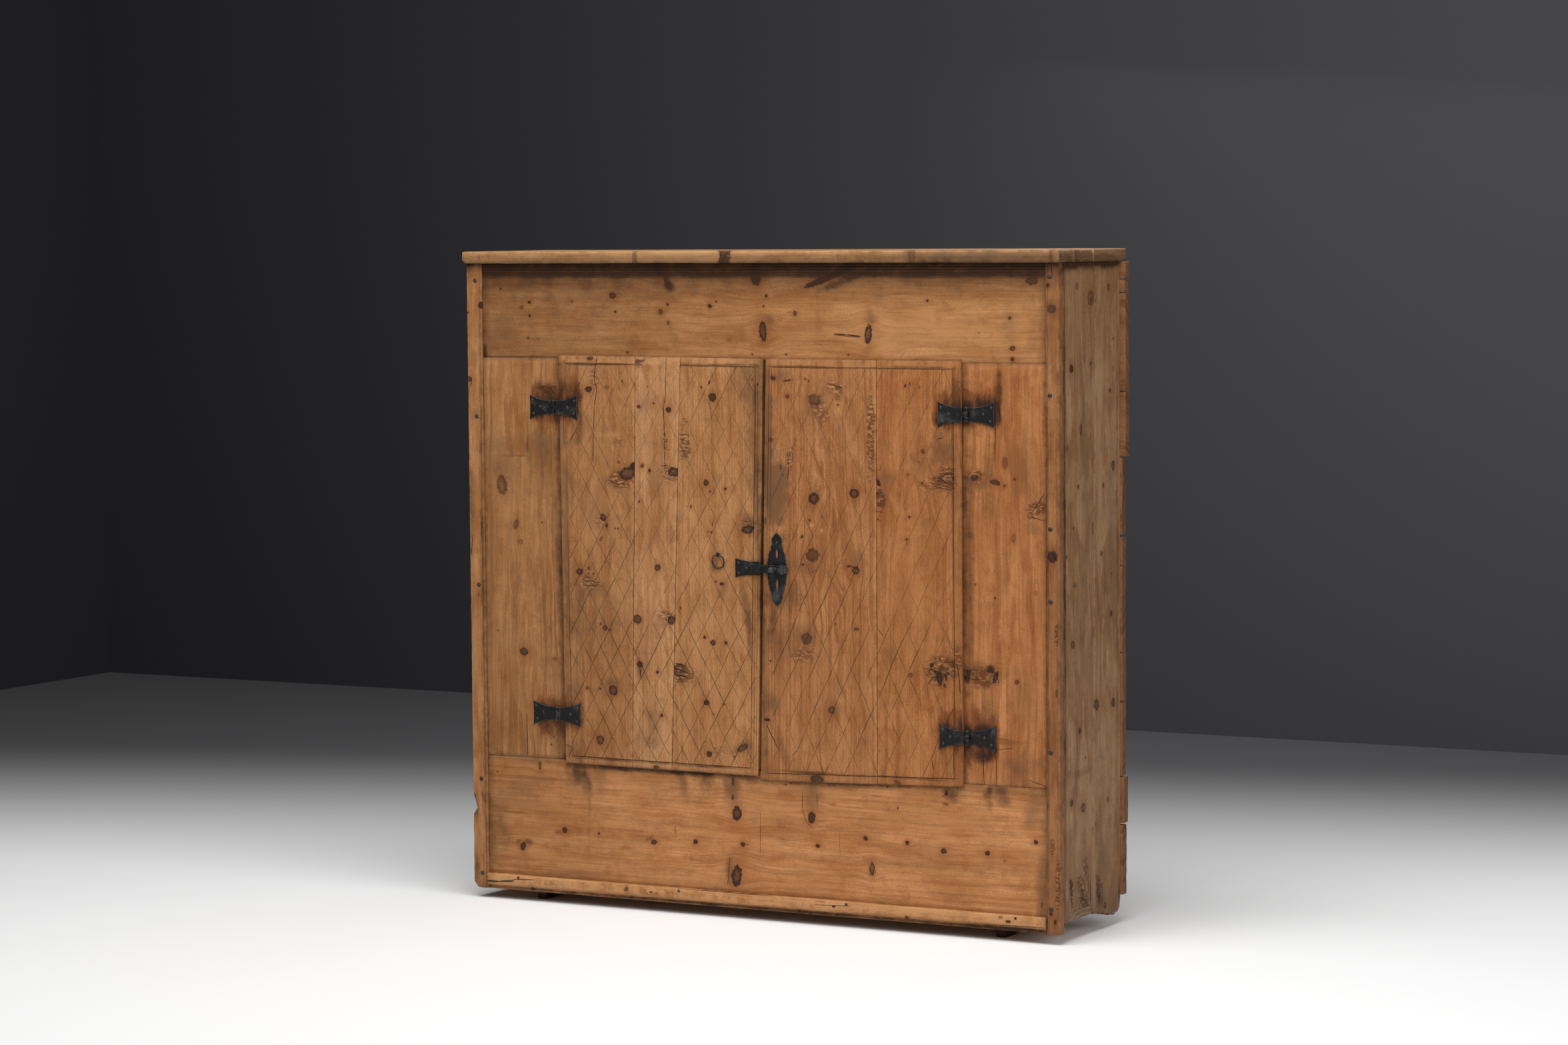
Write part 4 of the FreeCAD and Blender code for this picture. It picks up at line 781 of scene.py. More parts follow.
# The base moulding: a narrow strip with a rounded nose and a small hollow below it, planed by hand
# and nailed along the foot of the rail. Its left end has split along the grain.

MOULDING_PROFILE = (
    (5, 21), (1.2, 21), (1.2, 27.8), (-2.9, 30.3), (-5.3, 36), (-6, 44), (-5.6, 50), (-3.2, 52), (5, 52))
MOULDING_START, MOULDING_STOP, MOULDING_STEPS = 35.3, 1283.7, 104
NOSE_FOOT, NOSE_HEAD, NOSE_FRONT = 0.035, 0.0515, -0.138


def along_moulding(length):
    """The moulding's profile, drawn out along the rail."""
    bpy.ops.object.select_all(action="DESELECT")
    bpy.ops.mesh.primitive_plane_add(size=1, location=(0, 0, 0))
    strip = bpy.context.object
    strip.name = strip.data.name = "base_moulding"
    bpy.ops.object.mode_set(mode="EDIT")
    bpy.ops.mesh.delete(type="VERT")
    mesh = bmesh.from_edit_mesh(strip.data)
    mesh.faces.new([mesh.verts.new(metres(MOULDING_START, y, z)) for y, z in MOULDING_PROFILE])
    bmesh.update_edit_mesh(strip.data)
    bpy.ops.mesh.select_all(action="SELECT")
    for step in range(MOULDING_STEPS):
        bpy.ops.mesh.extrude_region_move(TRANSFORM_OT_translate={"value": (length / MOULDING_STEPS / 1000, 0, 0)})
    bpy.ops.mesh.select_all(action="SELECT")
    bpy.ops.mesh.normals_make_consistent(inside=False)
    bpy.ops.object.mode_set(mode="OBJECT")
    return strip


moulding = along_moulding(MOULDING_STOP - MOULDING_START)
nose = [0.9 if NOSE_FOOT < v.co.z < NOSE_HEAD and v.co.y < NOSE_FRONT else 0.1 for v in moulding.data.vertices]
moulding.data.attributes.new("worn", "FLOAT", "POINT").data.foreach_set("value", nose)
make_uneven(moulding, waviness, 1.2, 0.5)
make_uneven(moulding, knocks, -0.9, 0.4)
bpy.ops.object.shade_smooth_by_angle(angle=math.radians(40))
moulding_knots = (
    (364, 42, 5, 4, 0, 0.6), (420, 40, 3.4, 2, 0, 0.95, 0.1), (832, 41, 4, 2.4, 0, 0.95, 0.1),
    (1206, 40, 5, 2.6, 0, 0.9, 0.2), (989, 31, 4, 4, 0, 0.7), (753, 26, 4, 4, 0, 0.7), (141, 26, 4, 4, 0, 0.8),
    (1190, 47, 5, 3, 0, 0.5), (34, 45, 2, 3), (330, 42, 8, 4, 0, 0.2))
moulding_cracks = (
    (((22, 35), (66, 37), (100, 40)), 3.0, 1.5), (((96, 43), (150, 46)), 1.4, 1.0),
    (((790, 42), (870, 45)), 0.9, 1.5), (((1130, 30), (1280, 33)), 1.0, 3.0), (((480, 51.5), (700, 51.5)), 0.6, 0.6))
settle(moulding, "base_moulding", "case",
       pine("moulding_pine", upright=False, knots=moulding_knots, cracks=moulding_cracks,
            patches=(
                # the dark bands along the foot are painted shade under the nose
                (656, 25, 700, 4.5, (0.3, 0.3, 0)), (1200, 24, 120, 10, (0.3, 0.2, 0)), (190, 40, 30, 8, (0, 0.5, 0)),
                # the pale line along the nose is worn wood and painted highlight
                (900, 46, 500, 4, (0, 0, 0.7))),
            heart=(10, 90, 0.01), ring=4.0, seed=5.0, figure=0.35, tone=(174, 124, 79),
            # darker towards the foot: painted shade under the nose; also darker towards the ends
            dirt_and_shade=((2, 33, 24, 0.5), (0, 60, 36, 0.3), (0, 1264, 1284, 0.3))))


# The corner battens: narrow strips that cover the joint of front and sides, with a bead run along
# the inner edge. Their outer arrises are rubbed pale, and the left one has lost a piece near its foot.

BITE_FOOT, BITE_HEAD, BITE = 170, 217, 10
FOOT_ROUND = 14
BATTEN_BEAD = (2.6, 1.6, 1, 0, 1400)


def left_batten_shape(x, y, z):
    """Takes the lost piece out of the left edge and rounds its foot."""
    edge = 0.0
    if BITE_FOOT < z < BITE_HEAD:
        climb = (z - BITE_FOOT) / (BITE_HEAD - BITE_FOOT)
        edge = BITE * (climb / 0.25 if climb < 0.25 else (1 - climb) / 0.75)
    rise = 20 + FOOT_ROUND - z
    if rise > 0:
        edge = max(edge, FOOT_ROUND - math.sqrt(max(0.0, FOOT_ROUND ** 2 - rise * rise)))
    return x + edge * max(0.0, 1 - x / 30), y, z


def at_front(vertex, lo):
    return vertex.co.y < lo.y + CLOSE


def left_arris(e, lo, hi):
    return all(at_front(v, lo) and v.co.x < lo.x + CLOSE for v in e.verts)


def right_arris(e, lo, hi):
    return all(at_front(v, lo) and v.co.x > hi.x - CLOSE for v in e.verts)


left_batten = sawn_board("left_face_batten", (0, 0, 20), (LEFT_EDGE, 20, HEAD), cells=(6, 0, 7), wear=2.4, uneven=1.2,
                         grooves=[(0, 30, *BATTEN_BEAD)], rounds=[(2.2, left_arris)], shape=left_batten_shape)
settle(left_batten, "left_face_batten", "case",
       pine("left_batten_pine", heart=(10, 70, 0.02), ring=4.5, seed=6.0, figure=0.35,
            knots=(
                (5, 1057, 5, 6, 0, 0.75), (33, 1206, 5, 7, 0, 0.9, 0.1), (3, 1191, 2, 2), (3, 205, 4, 9, 0, 0.8),
                (26, 206, 4, 12, 20, 0.35), (20, 620, 2, 4, 0, 0.4)),
            cracks=(
                (((7, 1040), (10, 1060)), 1.0, 5.0), (((4, 700), (6, 740)), 1.4, 6.0),
                (((28, 720), (30, 780)), 0.8, 4.0)),
            patches=(
                # the dark patch at the head is painted shade under the top
                (5, 800, 7, 90, (0.1, 0.5, 0)), (6, 1290, 16, 40, (0.3, 0, 0)), (12, 500, 12, 60, (0, 0.2, 0.4)),
                (5, 180, 10, 22, (0.35, 0.2, 0)), (8, 60, 10, 40, (0.3, 0, 0)), (30, 650, 5, 700, (0.28, 0, 0))),
            # darker towards the head: painted shade under the top; also darker towards the foot and the inner edge
            tone=(158, 110, 68), dirt_and_shade=((2, 1268, 1290, 0.5), (2, 50, 20, 0.3), (0, 28, 33, 0.35))))
right_batten = sawn_board("right_face_batten", (RIGHT_EDGE, 0, 20), (1312, 20, HEAD), cells=(6, 10, 7), wear=2.4,
                          uneven=1.2, grooves=[(0, 1289, *BATTEN_BEAD)], rounds=[(1.8, right_arris)])
settle(right_batten, "right_face_batten", "case",
       pine("right_batten_pine", heart=(1300, 70, 0.02), ring=4.5, seed=7.0, figure=0.4,
            knots=(
                (1298, 738, 11, 11, 0, 0.95, 0.35), (1290, 1248, 3.5, 4), (1298, 1204, 9, 8, 0, 0.6, 0.5),
                (1302, 45, 3, 5), (1293, 60, 3, 4), (1306, 480, 3, 8, 0, 0.5)),
            cracks=((((1296, 1288), (1300, 1262)), 1.2, 4.0), (((1296, 748), (1308, 730)), 2.0, 8.0)),
            patches=(
                (1310, 640, 5, 640, (0.2, 0.3, 0)), (1297, 1204, 12, 16, (0.1, 0.4, 0)),
                # the dark patch at the head is painted shade under the top
                (1310, 700, 4, 60, (0, 0, 0.7)), (1300, 1270, 20, 34, (0.35, 0, 0)), (1286, 650, 4, 700, (0.3, 0, 0)),
                (1309, 130, 3, 100, (0, 0, 0.9))),
            torn=((1307, 120, 5, 60, 1.1), (1296, 190, 5, 20, 0.8), (1306, 590, 4, 40, 0.8)), tone=(139, 92, 54),
            # darker towards the head: painted shade under the top; also darker towards the foot and the inner edge
            dirt_and_shade=((2, 1260, 1290, 0.55), (2, 50, 20, 0.3), (0, 1289, 1284, 0.4))))


# The sides: two upright planks each, butted without a tongue. They were never waxed and have gone
# grey, with pale streaks, and their feet are broken and worn away where the cupboard was dragged.

SIDE_TONE = (135, 102, 71)
# the sides darken towards the head with painted shade under the top, towards the batten with stain, and towards the
# foot
SIDE_DIRT_AND_SHADE = ((2, 1262, 1290, 0.6), (1, 34, 21, 0.5), (2, 110, 40, 0.3))
SIDE_PLANKS = {"front": (20, 150, 57, ((20, 57), (150, 57), (171, 1290), (20, 1290))),
               "rear": (150, 283, 38, ((150, 38), (283, 38), (283, 1290), (171, 1290)))}


def foot_shaper(y0, y1, points, plain):
    """Raises the foot of a side plank to its broken line, given as (share of width, height) points."""
    def shape(x, y, z):
        share = (y - y0) / (y1 - y0)
        rise = points[0][1]
        for (a, low), (b, high) in zip(points, points[1:]):
            if a <= share <= b:
                rise = low + (high - low) * (share - a) / (b - a)
        if share > points[-1][0]:
            rise = points[-1][1]
        fade = max(0.0, 1 - (z - plain) / 120)
        splinter = 1.9 * math.sin(y * 0.29 + 1.1) + 1.3 * math.sin(y * 0.53 + x * 0.05)
        return x, y, z + (rise - plain) * fade + splinter * max(0.0, 1 - (z - plain) / 14)
    return shape


def side_plank(side, place, foot, **marks):
    """One plank of a side, in its place from front to rear, with its broken foot and its finish."""
    y0, y1, plain, corners = SIDE_PLANKS[place]
    x = {"left": 0, "right": 1287}[side]
    node = "%s_side_%s_plank" % (side, place)
    plank = sawn_board(node, (x, y0, plain), (x + 25, y1, HEAD), cells=(0, 5, 12), wear=1.2, uneven=0.9,
                       outline=corners, shape=foot_shaper(y0, y1, foot, plain))
    settle(plank, node, "case",
           pine("%s_%s_plank_pine" % (side, place), face="side", ring=5.0, figure=0.5, tone=SIDE_TONE,
                dirt_and_shade=SIDE_DIRT_AND_SHADE, **marks))


right_front_knots = (
    (84, 1245, 7, 7, 0, 0.4), (147, 1221, 15, 14, 0, 0.5, 0.8), (147, 1218, 4, 5, 0, 0.8), (58, 1090, 9, 8, 0, 0.8),
    (117, 1107, 5, 9, 0, 0.35, 0.7), (145, 1097, 3, 4, 0, 0.8), (100, 972, 6, 12, 0, 0.55, 0.5),
    (38, 941, 5, 5, 0, 0.4), (87, 865, 3.4, 3), (157, 780, 8, 13, 0, 0.4, 0.6), (60, 567, 9, 8, 0, 0.55),
    (92, 399, 6, 5, 0, 0.75), (54, 265, 7, 7, 0, 0.7), (107, 250, 10, 9, 0, 0.6, 0.6), (52, 110, 9, 9, 0, 0.5),
    (33, 735, 2.5, 2.5), (118, 345, 2, 2), (116, 149, 10, 4, 20, 0.3))
side_patches = (
    (70, 1180, 40, 160, (0, 0, 0.5)), (120, 900, 30, 260, (0, 0.25, 0)), (60, 640, 50, 180, (0.08, 0, 0)),
    (67, 787, 5, 4, (0.4, 0.5, 0)), (70, 679, 9, 5, (0.35, 0.5, 0)), (100, 320, 60, 10, (0.2, 0, 0)),
    (55, 310, 24, 50, (0.15, 0, 0)), (85, 140, 60, 60, (0, 0.2, 0.2)), (100, 84, 12, 40, 30, (0.34, 0, 0)),
    # the dark band under the top is painted shade
    (128, 110, 7, 44, 18, (0.3, 0.1, 0)), (50, 98, 6, 30, 8, (0.4, 0, 0)), (40, 1285, 300, 12, (0.4, 0, 0)),
    (26, 700, 6, 640, (0.3, 0.1, 0)))
side_plank("right", "front", ((0.0, 38.5), (0.068, 34.8), (0.153, 44), (0.20, 57)), knots=right_front_knots,
           patches=side_patches, heart=(90, 50, 0.02), wave=22, seed=8.0,
           cracks=(
               (((75, 1262), (72, 1020)), 0.7, 1.5), (((26, 1290), (27, 760)), 1.0, 1.0),
               (((96, 730), (98, 560)), 0.4, 1.5), (((150, 820), (146, 560)), 0.5, 1.5),
               (((76, 560), (80, 300)), 0.4, 1.5), (((140, 118), (139, 57)), 2.2, 3.0),
               (((110, 75), (122, 62)), 0.8, 4.0), (((50, 120), (56, 62)), 0.8, 5.0),
               (((122, 116), (104, 84), (88, 60)), 1.0, 5.0), (((134, 100), (120, 70)), 0.8, 4.0)),
           torn=((50, 98, 9, 28, 6, 1.3), (118, 128, 13, 13, 1.2), (104, 84, 20, 38, 26, 1.5)))
right_rear_knots = (
    (230, 1240, 7, 7, 0, 0.5), (252, 1141, 2.4, 2.4), (236, 1042, 4, 3), (251, 896, 8, 10, 0, 0.6, 0.5),
    (203, 861, 5, 5, 0, 0.6), (195, 730, 5, 5, 0, 0.65), (240, 611, 6, 6, 0, 0.75), (249, 437, 9, 9, 0, 0.7),
    (170, 441, 12, 11, 0, 0.65, 0.4), (222, 251, 5, 5, 0, 0.55), (208, 47, 6, 5, 0, 0.6), (164, 210, 4, 4, 0, 0.3))
side_plank("right", "rear", ((0.0, 38.5), (0.24, 35.5), (0.736, 23.3), (0.872, 23.7), (0.968, 34.8), (1.0, 52)),
           knots=right_rear_knots, heart=(215, 50, -0.02), wave=22, seed=9.0,
           patches=(
               (242, 688, 6, 3, (0.4, 0.4, 0)), (190, 1000, 20, 300, (0, 0, 0.5)), (240, 760, 26, 200, (0, 0.35, 0)),
               (215, 640, 6, 90, (0.12, 0, 0)), (200, 140, 30, 40, (0.05, 0.4, 0)), (176, 84, 9, 38, 16, (0.5, 0, 0)),
               (196, 60, 6, 12, (0.3, 0, 0)), (270, 660, 8, 640, (0.2, 0.1, 0)), (277, 60, 8, 30, (0.4, 0, 0)),
               # the dark band under the top is painted shade
               (200, 1288, 120, 12, (0.4, 0, 0))),
           torn=((180, 88, 14, 26, 16, 1.4), (206, 48, 9, 9, 0.9)),
           cracks=(
               (((212, 760), (206, 610)), 0.9, 3.0), (((172, 1280), (170, 1060)), 0.4, 1.0),
               (((190, 560), (186, 420)), 0.5, 2.0)))
side_plank("left", "front", ((0.0, 33.3), (0.107, 31.1), (0.173, 35.5), (0.20, 57)), heart=(80, 46, 0.02), wave=26,
           seed=10.0, patches=side_patches[:3],
           knots=(
               (60, 1150, 8, 10, 0, 0.6), (120, 980, 5, 5), (70, 820, 10, 9, 0, 0.6, 0.6), (110, 640, 4, 4),
               (50, 470, 7, 8, 0, 0.7), (100, 300, 9, 9, 0, 0.6), (60, 160, 5, 6)),
           cracks=((((100, 1290), (96, 1100)), 0.8, 2.0), (((60, 420), (64, 90)), 0.7, 2.0)))
side_plank("left", "rear", ((0.0, 32), (0.064, 31.1), (0.362, 28.1), (0.787, 21.9), (0.936, 24.4), (1.0, 36.7)),
           heart=(230, 46, -0.02), wave=26, seed=11.0,
           knots=(
               (230, 1180, 6, 6), (200, 1020, 9, 8, 0, 0.6, 0.6), (250, 850, 5, 6), (190, 690, 4, 4),
               (240, 520, 9, 10, 0, 0.7), (205, 360, 5, 5), (250, 210, 7, 7)),
           patches=((210, 900, 30, 260, (0, 0.3, 0)), (240, 400, 20, 200, (0, 0, 0.4))))


# The floor: two boards on edge-laid bearers that keep the case off the ground.
# The front board's tongue runs out through the sides, where its rough end shows.

INNER_TONE = (166, 126, 88)
shelf_pine = pine("shelf_pine", face="flat", upright=False, heart=(120, 50, 0.01), ring=5.0, wave=26, seed=12.0,
                  figure=0.35, tone=INNER_TONE,
                  knots=(
                      (240, 120, 9, 7, 0, 0.7), (520, 200, 6, 5), (760, 90, 11, 9, 0, 0.6, 0.6), (1010, 220, 7, 6),
                      (1180, 130, 5, 4), (390, 250, 4, 4)),
                  patches=((600, 250, 500, 40, (0.12, 0.2, 0)), (300, 80, 200, 20, (0.1, 0, 0))))


def floor_tongue(x, y, z):
    """Sets the tongue at each end back from the front edge of the board."""
    return x, y if 25 <= x <= 1287 else max(y, 47), z


floor_front = sawn_board("floor_front_board", (1.5, 25, 39), (1310.5, 150, 57), cells=(14, 12, 0), wear=1.0,
                         shape=floor_tongue)
settle(floor_front, "floor_front_board", "case", shelf_pine)
floor_rear = sawn_board("floor_rear_board", (25, 150.5, 39), (1287, 283, 57), cells=(14, 12, 0), wear=1.0)
settle(floor_rear, "floor_rear_board", "case", shelf_pine)
# the bearers are coloured dark brown, darker low down and towards their front ends: painted shade of the dark under the
# case
bearer_pine_painted_shade = pine("bearer_pine_painted_shade", face="side", upright=False, heart=(20, 40, 0.01), ring=4.0, seed=13.0, figure=0.4,
                   patches=((150, 10, 200, 30, (0.6, 0.2, 0)),), tone=(84, 62, 44), dirt_and_shade=((1, 90, 40, 0.5),))
for side, start in (("left", 130), ("right", 1161)):
    bearer = sawn_board(side + "_bearer", (start, 36, 0), (start + 21, 262, 39), cells=(0, 12, 13), wear=2.0,
                        uneven=0.2, shape=lambda x, y, z: (x, y, max(z, 0.3)))
    settle(bearer, side + "_bearer", "case", bearer_pine_painted_shade)


# The top: two loose-jointed boards, paler than the front because they are wiped most often.
# The front board's rim is rubbed and dented, and its right end has split and lost a chip.

TOP_FOOT, TOP_MIDDLE = 1290, 1300
TOP_TONE = (158, 116, 76)
ROUND_END = 12
SPLIT_END, SPLIT_Y = 1288, 52


def top_front_shape(x, y, z):
    """Rounds the left end from below, opens the split of the right end and wears its rear corner back."""
    under = TOP_FOOT + 6 - z
    if under > 0 and x < ROUND_END:
        x += under * max(0.0, 1 - (x + 5) / 17)
    if x > SPLIT_END:
        deep = (x - SPLIT_END) / 29
        x -= 26 * deep * max(0.0, 1 - abs(y - SPLIT_Y) / 5)
        x -= 4 * deep * max(0.0, (y - 60) / 91) * (1 if z > TOP_MIDDLE else 0.4)
    return x, y, z


def worn_rim(e, lo, hi):
    """The upper arris at the front and at both ends."""
    return all(v.co.z > hi.z - CLOSE and (at_front(v, lo) or abs(v.co.x - lo.x) < CLOSE or abs(v.co.x - hi.x) < CLOSE)
               for v in e.verts)


top_front = sawn_board("top_front_board", (-5, -8, TOP_FOOT), (1317, 151, 1314), cells=(10, 7, 8), wear=2.6,
                       uneven=1.3, rounds=[(3.2, worn_rim)], shape=top_front_shape)
top_rear = sawn_board("top_rear_board", (-5, 151.6, TOP_FOOT), (1317, 303, 1314), cells=(12, 10, 0), wear=2.0,
                      uneven=1.0, rounds=[(2.4, worn_rim)])
top_pine = pine("top_pine", face="flat", upright=False, heart=(90, 60, 0.012), ring=5.0, wave=30, seed=14.0,
                # darker towards the underside: painted shade under the rim, with dirt
                figure=0.3, tone=TOP_TONE, dirt_and_shade=((2, 1311, 1296, 0.4), (2, 1297, 1291, 0.3)),
                knots=(
                    (399, -2, 7, 9, 0, 0.4), (602, 0, 17, 12, 0, 0.75, 0.3), (1010, -4, 9, 8, 0, 0.35),
                    (1300, 0, 8, 9, 0, 0.4), (220, 90, 10, 8, 0, 0.6, 0.6), (760, 60, 8, 7, 0, 0.7), (930, 120, 5, 5),
                    (1120, 90, 12, 9, 0, 0.6, 0.5), (330, 200, 9, 8, 0, 0.7), (560, 260, 6, 5),
                    (830, 210, 11, 8, 0, 0.6, 0.6), (1080, 250, 7, 6), (1240, 200, 5, 5)),
                cracks=(
                    (((1317, 52), (1240, 56)), 1.6, 4.0), (((1317, 100), (1270, 98)), 1.0, 4.0),
                    (((-5, 80), (60, 84)), 1.0, 3.0), (((700, 200), (900, 206)), 0.7, 4.0)),
                patches=(
                    (650, 130, 600, 60, (0.05, 0.3, 0)), (300, 60, 160, 40, (0, 0, 0.5)),
                    (1150, -6, 240, 8, (0.15, 0.4, 0)), (900, 240, 300, 40, (0.08, 0.2, 0)),
                    # the pale strip along the front rim is worn wood and painted highlight
                    (480, -7, 240, 6, (0, 0, 0.6)), (1300, 60, 24, 40, (0.3, 0, 0))))
settle(top_front, "top_front_board", "case", top_pine)
settle(top_rear, "top_rear_board", "case", top_pine)


# The back: eleven rough boards of odd widths nailed across the rear edges, straight from the saw.
# They overrun the sides unevenly, so their broken end grain shows at both rear corners.

BACK_FOOT, BACK_HEIGHT = 20, 1270
LONGEST_OVERRUN = 12
BACK_TONE = (135, 92, 58)
BACK_BOARDS = (
    (0.028, 0.134, 0.40), (0.139, 0.209, 0.67), (0.212, 0.324, 0.33), (0.327, 0.401, 0.38), (0.402, 0.534, 0.33),
    (0.536, 0.574, 0.42), (0.583, 0.700, 0.36), (0.702, 0.800, 1.00), (0.802, 0.950, 1.00), (0.952, 0.969, 0.85),
    (0.973, 0.998, 1.00))
back_knots = (
    (180, 110, 11, 9, 0, 0.8), (540, 90, 8, 7), (980, 140, 12, 10, 0, 0.7, 0.6), (330, 240, 6, 5), (840, 230, 9, 8),
    (1200, 250, 7, 6), (260, 350, 13, 11, 0, 0.7, 0.6), (700, 380, 8, 7), (1080, 340, 6, 6), (450, 470, 9, 8),
    (150, 600, 10, 9), (620, 640, 12, 10, 0, 0.8, 0.5), (1010, 600, 8, 7), (350, 820, 9, 9),
    (880, 860, 11, 9, 0, 0.8, 0.4), (1190, 800, 6, 6), (220, 980, 8, 7), (560, 960, 7, 6),
    (760, 1120, 12, 11, 0, 0.8, 0.5), (1110, 1080, 9, 8), (330, 1160, 10, 9, 0, 0.75, 0.5))
back_patches = (
    (656, 300, 700, 90, (0.12, 0.3, 0)), (300, 900, 240, 160, (0.1, 0.2, 0)), (1000, 700, 260, 200, (0.05, 0.3, 0)),
    (656, 1280, 700, 30, (0.3, 0, 0)))
back_pines = [pine("back_pine_%d" % turn, upright=False, heart=(heart, 50, 0.015), ring=5.5, wave=34,
                   seed=15.0 + turn, figure=0.42, tone=BACK_TONE, knots=back_knots, patches=back_patches)
              for turn, heart in enumerate((240, 900))]
next_feet = [foot for foot, head, overrun in BACK_BOARDS[1:]] + [1.0]
for number, ((foot, head, overrun), next_foot) in enumerate(zip(BACK_BOARDS, next_feet), 1):
    run = LONGEST_OVERRUN * overrun
    head += 0.55 * (next_foot - head)
    node = "back_board_%02d" % number
    back = sawn_board(node, (-run, 283, BACK_FOOT + BACK_HEIGHT * foot),
                      (1312 + run, 303, BACK_FOOT + BACK_HEIGHT * head), cells=(14, 10, 12), wear=2.6, uneven=1.4)
    settle(back, node, "case", back_pines[number % 2])


# The shelves: plain boards laid on cleats that are nailed to the sides, dusty and never finished.
# Both are set into the case from behind, before the back goes on.

for height, name in ((470, "lower_shelf"), (790, "upper_shelf")):
    shelf = sawn_board(name, (25.3, 46, height), (1286.7, 283, height + 20), cells=(16, 14, 0), wear=1.2)
    settle(shelf, name, "case", shelf_pine)
# the cleats share the bearers' darkened finish, which paints shade
dress(bearer_pine_painted_shade, "shelf_cleats")


# The doors: planks edge to edge behind a lip that laps the opening, with an incised line round the
# border and a lattice of thin scored diagonals. Their edges are rubbed and the joints have opened.

def make_lattice():
    """One set of parallel scored lines across the face of a door, faint or lost in places."""
    tree, given = new_group("lattice", {"Face": NOUGHT, "Slope": 0.56, "Start": 0.0, "Step": 40.0, "Low": 300.0,
                                        "High": 1090.0, "Left": 240.0, "Right": 660.0, "Lost": 0.45})
    across, up = part_axes(given["Face"])[:2]
    sway = (cloud(given["Face"], 0.012) - 0.5) * 9.0
    slid = across - given["Slope"] * (up - 310.0) - given["Start"] + sway
    line = ease(calc("PINGPONG", slid, given["Step"] * 0.5), 0.25, 1.15, 1.0, 0.0)
    band = cloud(join_axes(calc("FLOOR", slid / given["Step"]), up * 0.006, given["Slope"]), 1.0)
    line = line * ease(band, given["Lost"], given["Lost"] + 0.25, 0.1, 0.56)
    line = line * ease(cloud(given["Face"], 0.03, 3.0, 0.6), 0.3, 0.52, 0.2, 1.0)
    line = line * ease(up, 950.0, 480.0, 0.8, 1.4)
    for place, low, high in ((up, "Low", "High"), (across, "Left", "Right")):
        line = line * calc("GREATER_THAN", place, given[low]) * calc("LESS_THAN", place, given[high])
    return finish_group(tree, {"Lines": line})


lattice_lines = make_lattice()


def scored(slopes, low, high, left, right):
    """The two sets of scored diagonals of one door, as lines on its face."""
    def lines(plane):
        return larger(*[use(lattice_lines, {
            "Face": plane, "Slope": slope, "Start": start, "Step": step, "Low": low, "High": high, "Left": left,
            "Right": right, "Lost": lost})["Lines"] for slope, start, step, lost in slopes])
    return lines


BORDER = 16
BORDER_LINE = (2.4, 1.4, 1)
HEAD_LINE = (2.6, 1.4, 1)
OPEN_JOINT = 0.25


def door_plank(name, lip, body, joints, index, head_line_from):
    """One plank of a door: the lapped front with its border line, and the body behind it."""
    foot_left, foot_right, head_right, head_left = lip
    stops = ((0.0, 0.0), *joints, (1.0, 1.0))
    (head0, foot0), (head1, foot1) = stops[index], stops[index + 1]
    low_side, high_side = index == 0, index == len(joints)
    left_gap, right_gap = 0 if low_side else OPEN_JOINT, 0 if high_side else -OPEN_JOINT
    corners = [between(foot_left, foot_right, foot0), between(foot_left, foot_right, foot1),
               between(head_left, head_right, head1), between(head_left, head_right, head0)]
    corners = [(x + gap, z) for (x, z), gap in zip(corners, (left_gap, right_gap, right_gap, left_gap))]
    x0, x1 = corners[0][0], corners[1][0]
    z0, z1 = min(corners[0][1], corners[1][1]), max(corners[2][1], corners[3][1])
    start, stop = x0 + (BORDER if low_side else -5), x1 - (BORDER if high_side else -5)
    grooves = [
        (2, z0 + BORDER, *BORDER_LINE, start, stop), (2, z1 - BORDER, *HEAD_LINE, max(head_line_from, start), stop)]
    grooves += [(0, x, *BORDER_LINE, z0 + BORDER - 1, z1 - BORDER + 1)
                for x, cut in ((x0 + BORDER, low_side), (x1 - BORDER, high_side)) if cut]

    def outer_front(e, lo, hi):
        def rim(v):
            return (v.co.z < lo.z + CLOSE or v.co.z > hi.z - CLOSE or (low_side and v.co.x < lo.x + CLOSE)
                    or (high_side and v.co.x > hi.x - CLOSE))
        return all(at_front(v, lo) and rim(v) for v in e.verts)

    front = sawn_board(name, (x0, -3, z0), (x1, 4.7, z1), cells=(9, 0, 10), grooves=grooves, arris=0.6,
                       rounds=[(3.4, outer_front)], outline=corners, wear=1.5, uneven=0.8)
    inner = [(nearer(x, edge) if at_end else x, height) for (x, z), (edge, height), at_end, nearer in
             zip(corners, body, (low_side, high_side, high_side, low_side), (max, min, min, max))]
    behind = sawn_board(name + "_body", (inner[0][0], 4.5, inner[0][1]), (inner[1][0], 20, inner[2][1]),
                        cells=(14, 0, 14), arris=0.6, wear=0.8, uneven=0.5, outline=inner)
    select_only(behind, front)
    bpy.ops.object.join()
    return front


def make_door(side, lip, body, joints, head_lines_from, lines, all_marks, **common):
    """All the planks of a door. Marks hold each plank's own finish, and common what they share."""
    for index, marks in enumerate(all_marks):
        node = "%s_door_plank_%d" % (side, index + 1)
        plank = door_plank(node, lip, body, joints, index, head_lines_from[index])
        marks["cracks"] += lines
        settle(plank, node, side + "_door",
               pine("%s_door_pine_%d" % (side, index + 1), **common, **marks))


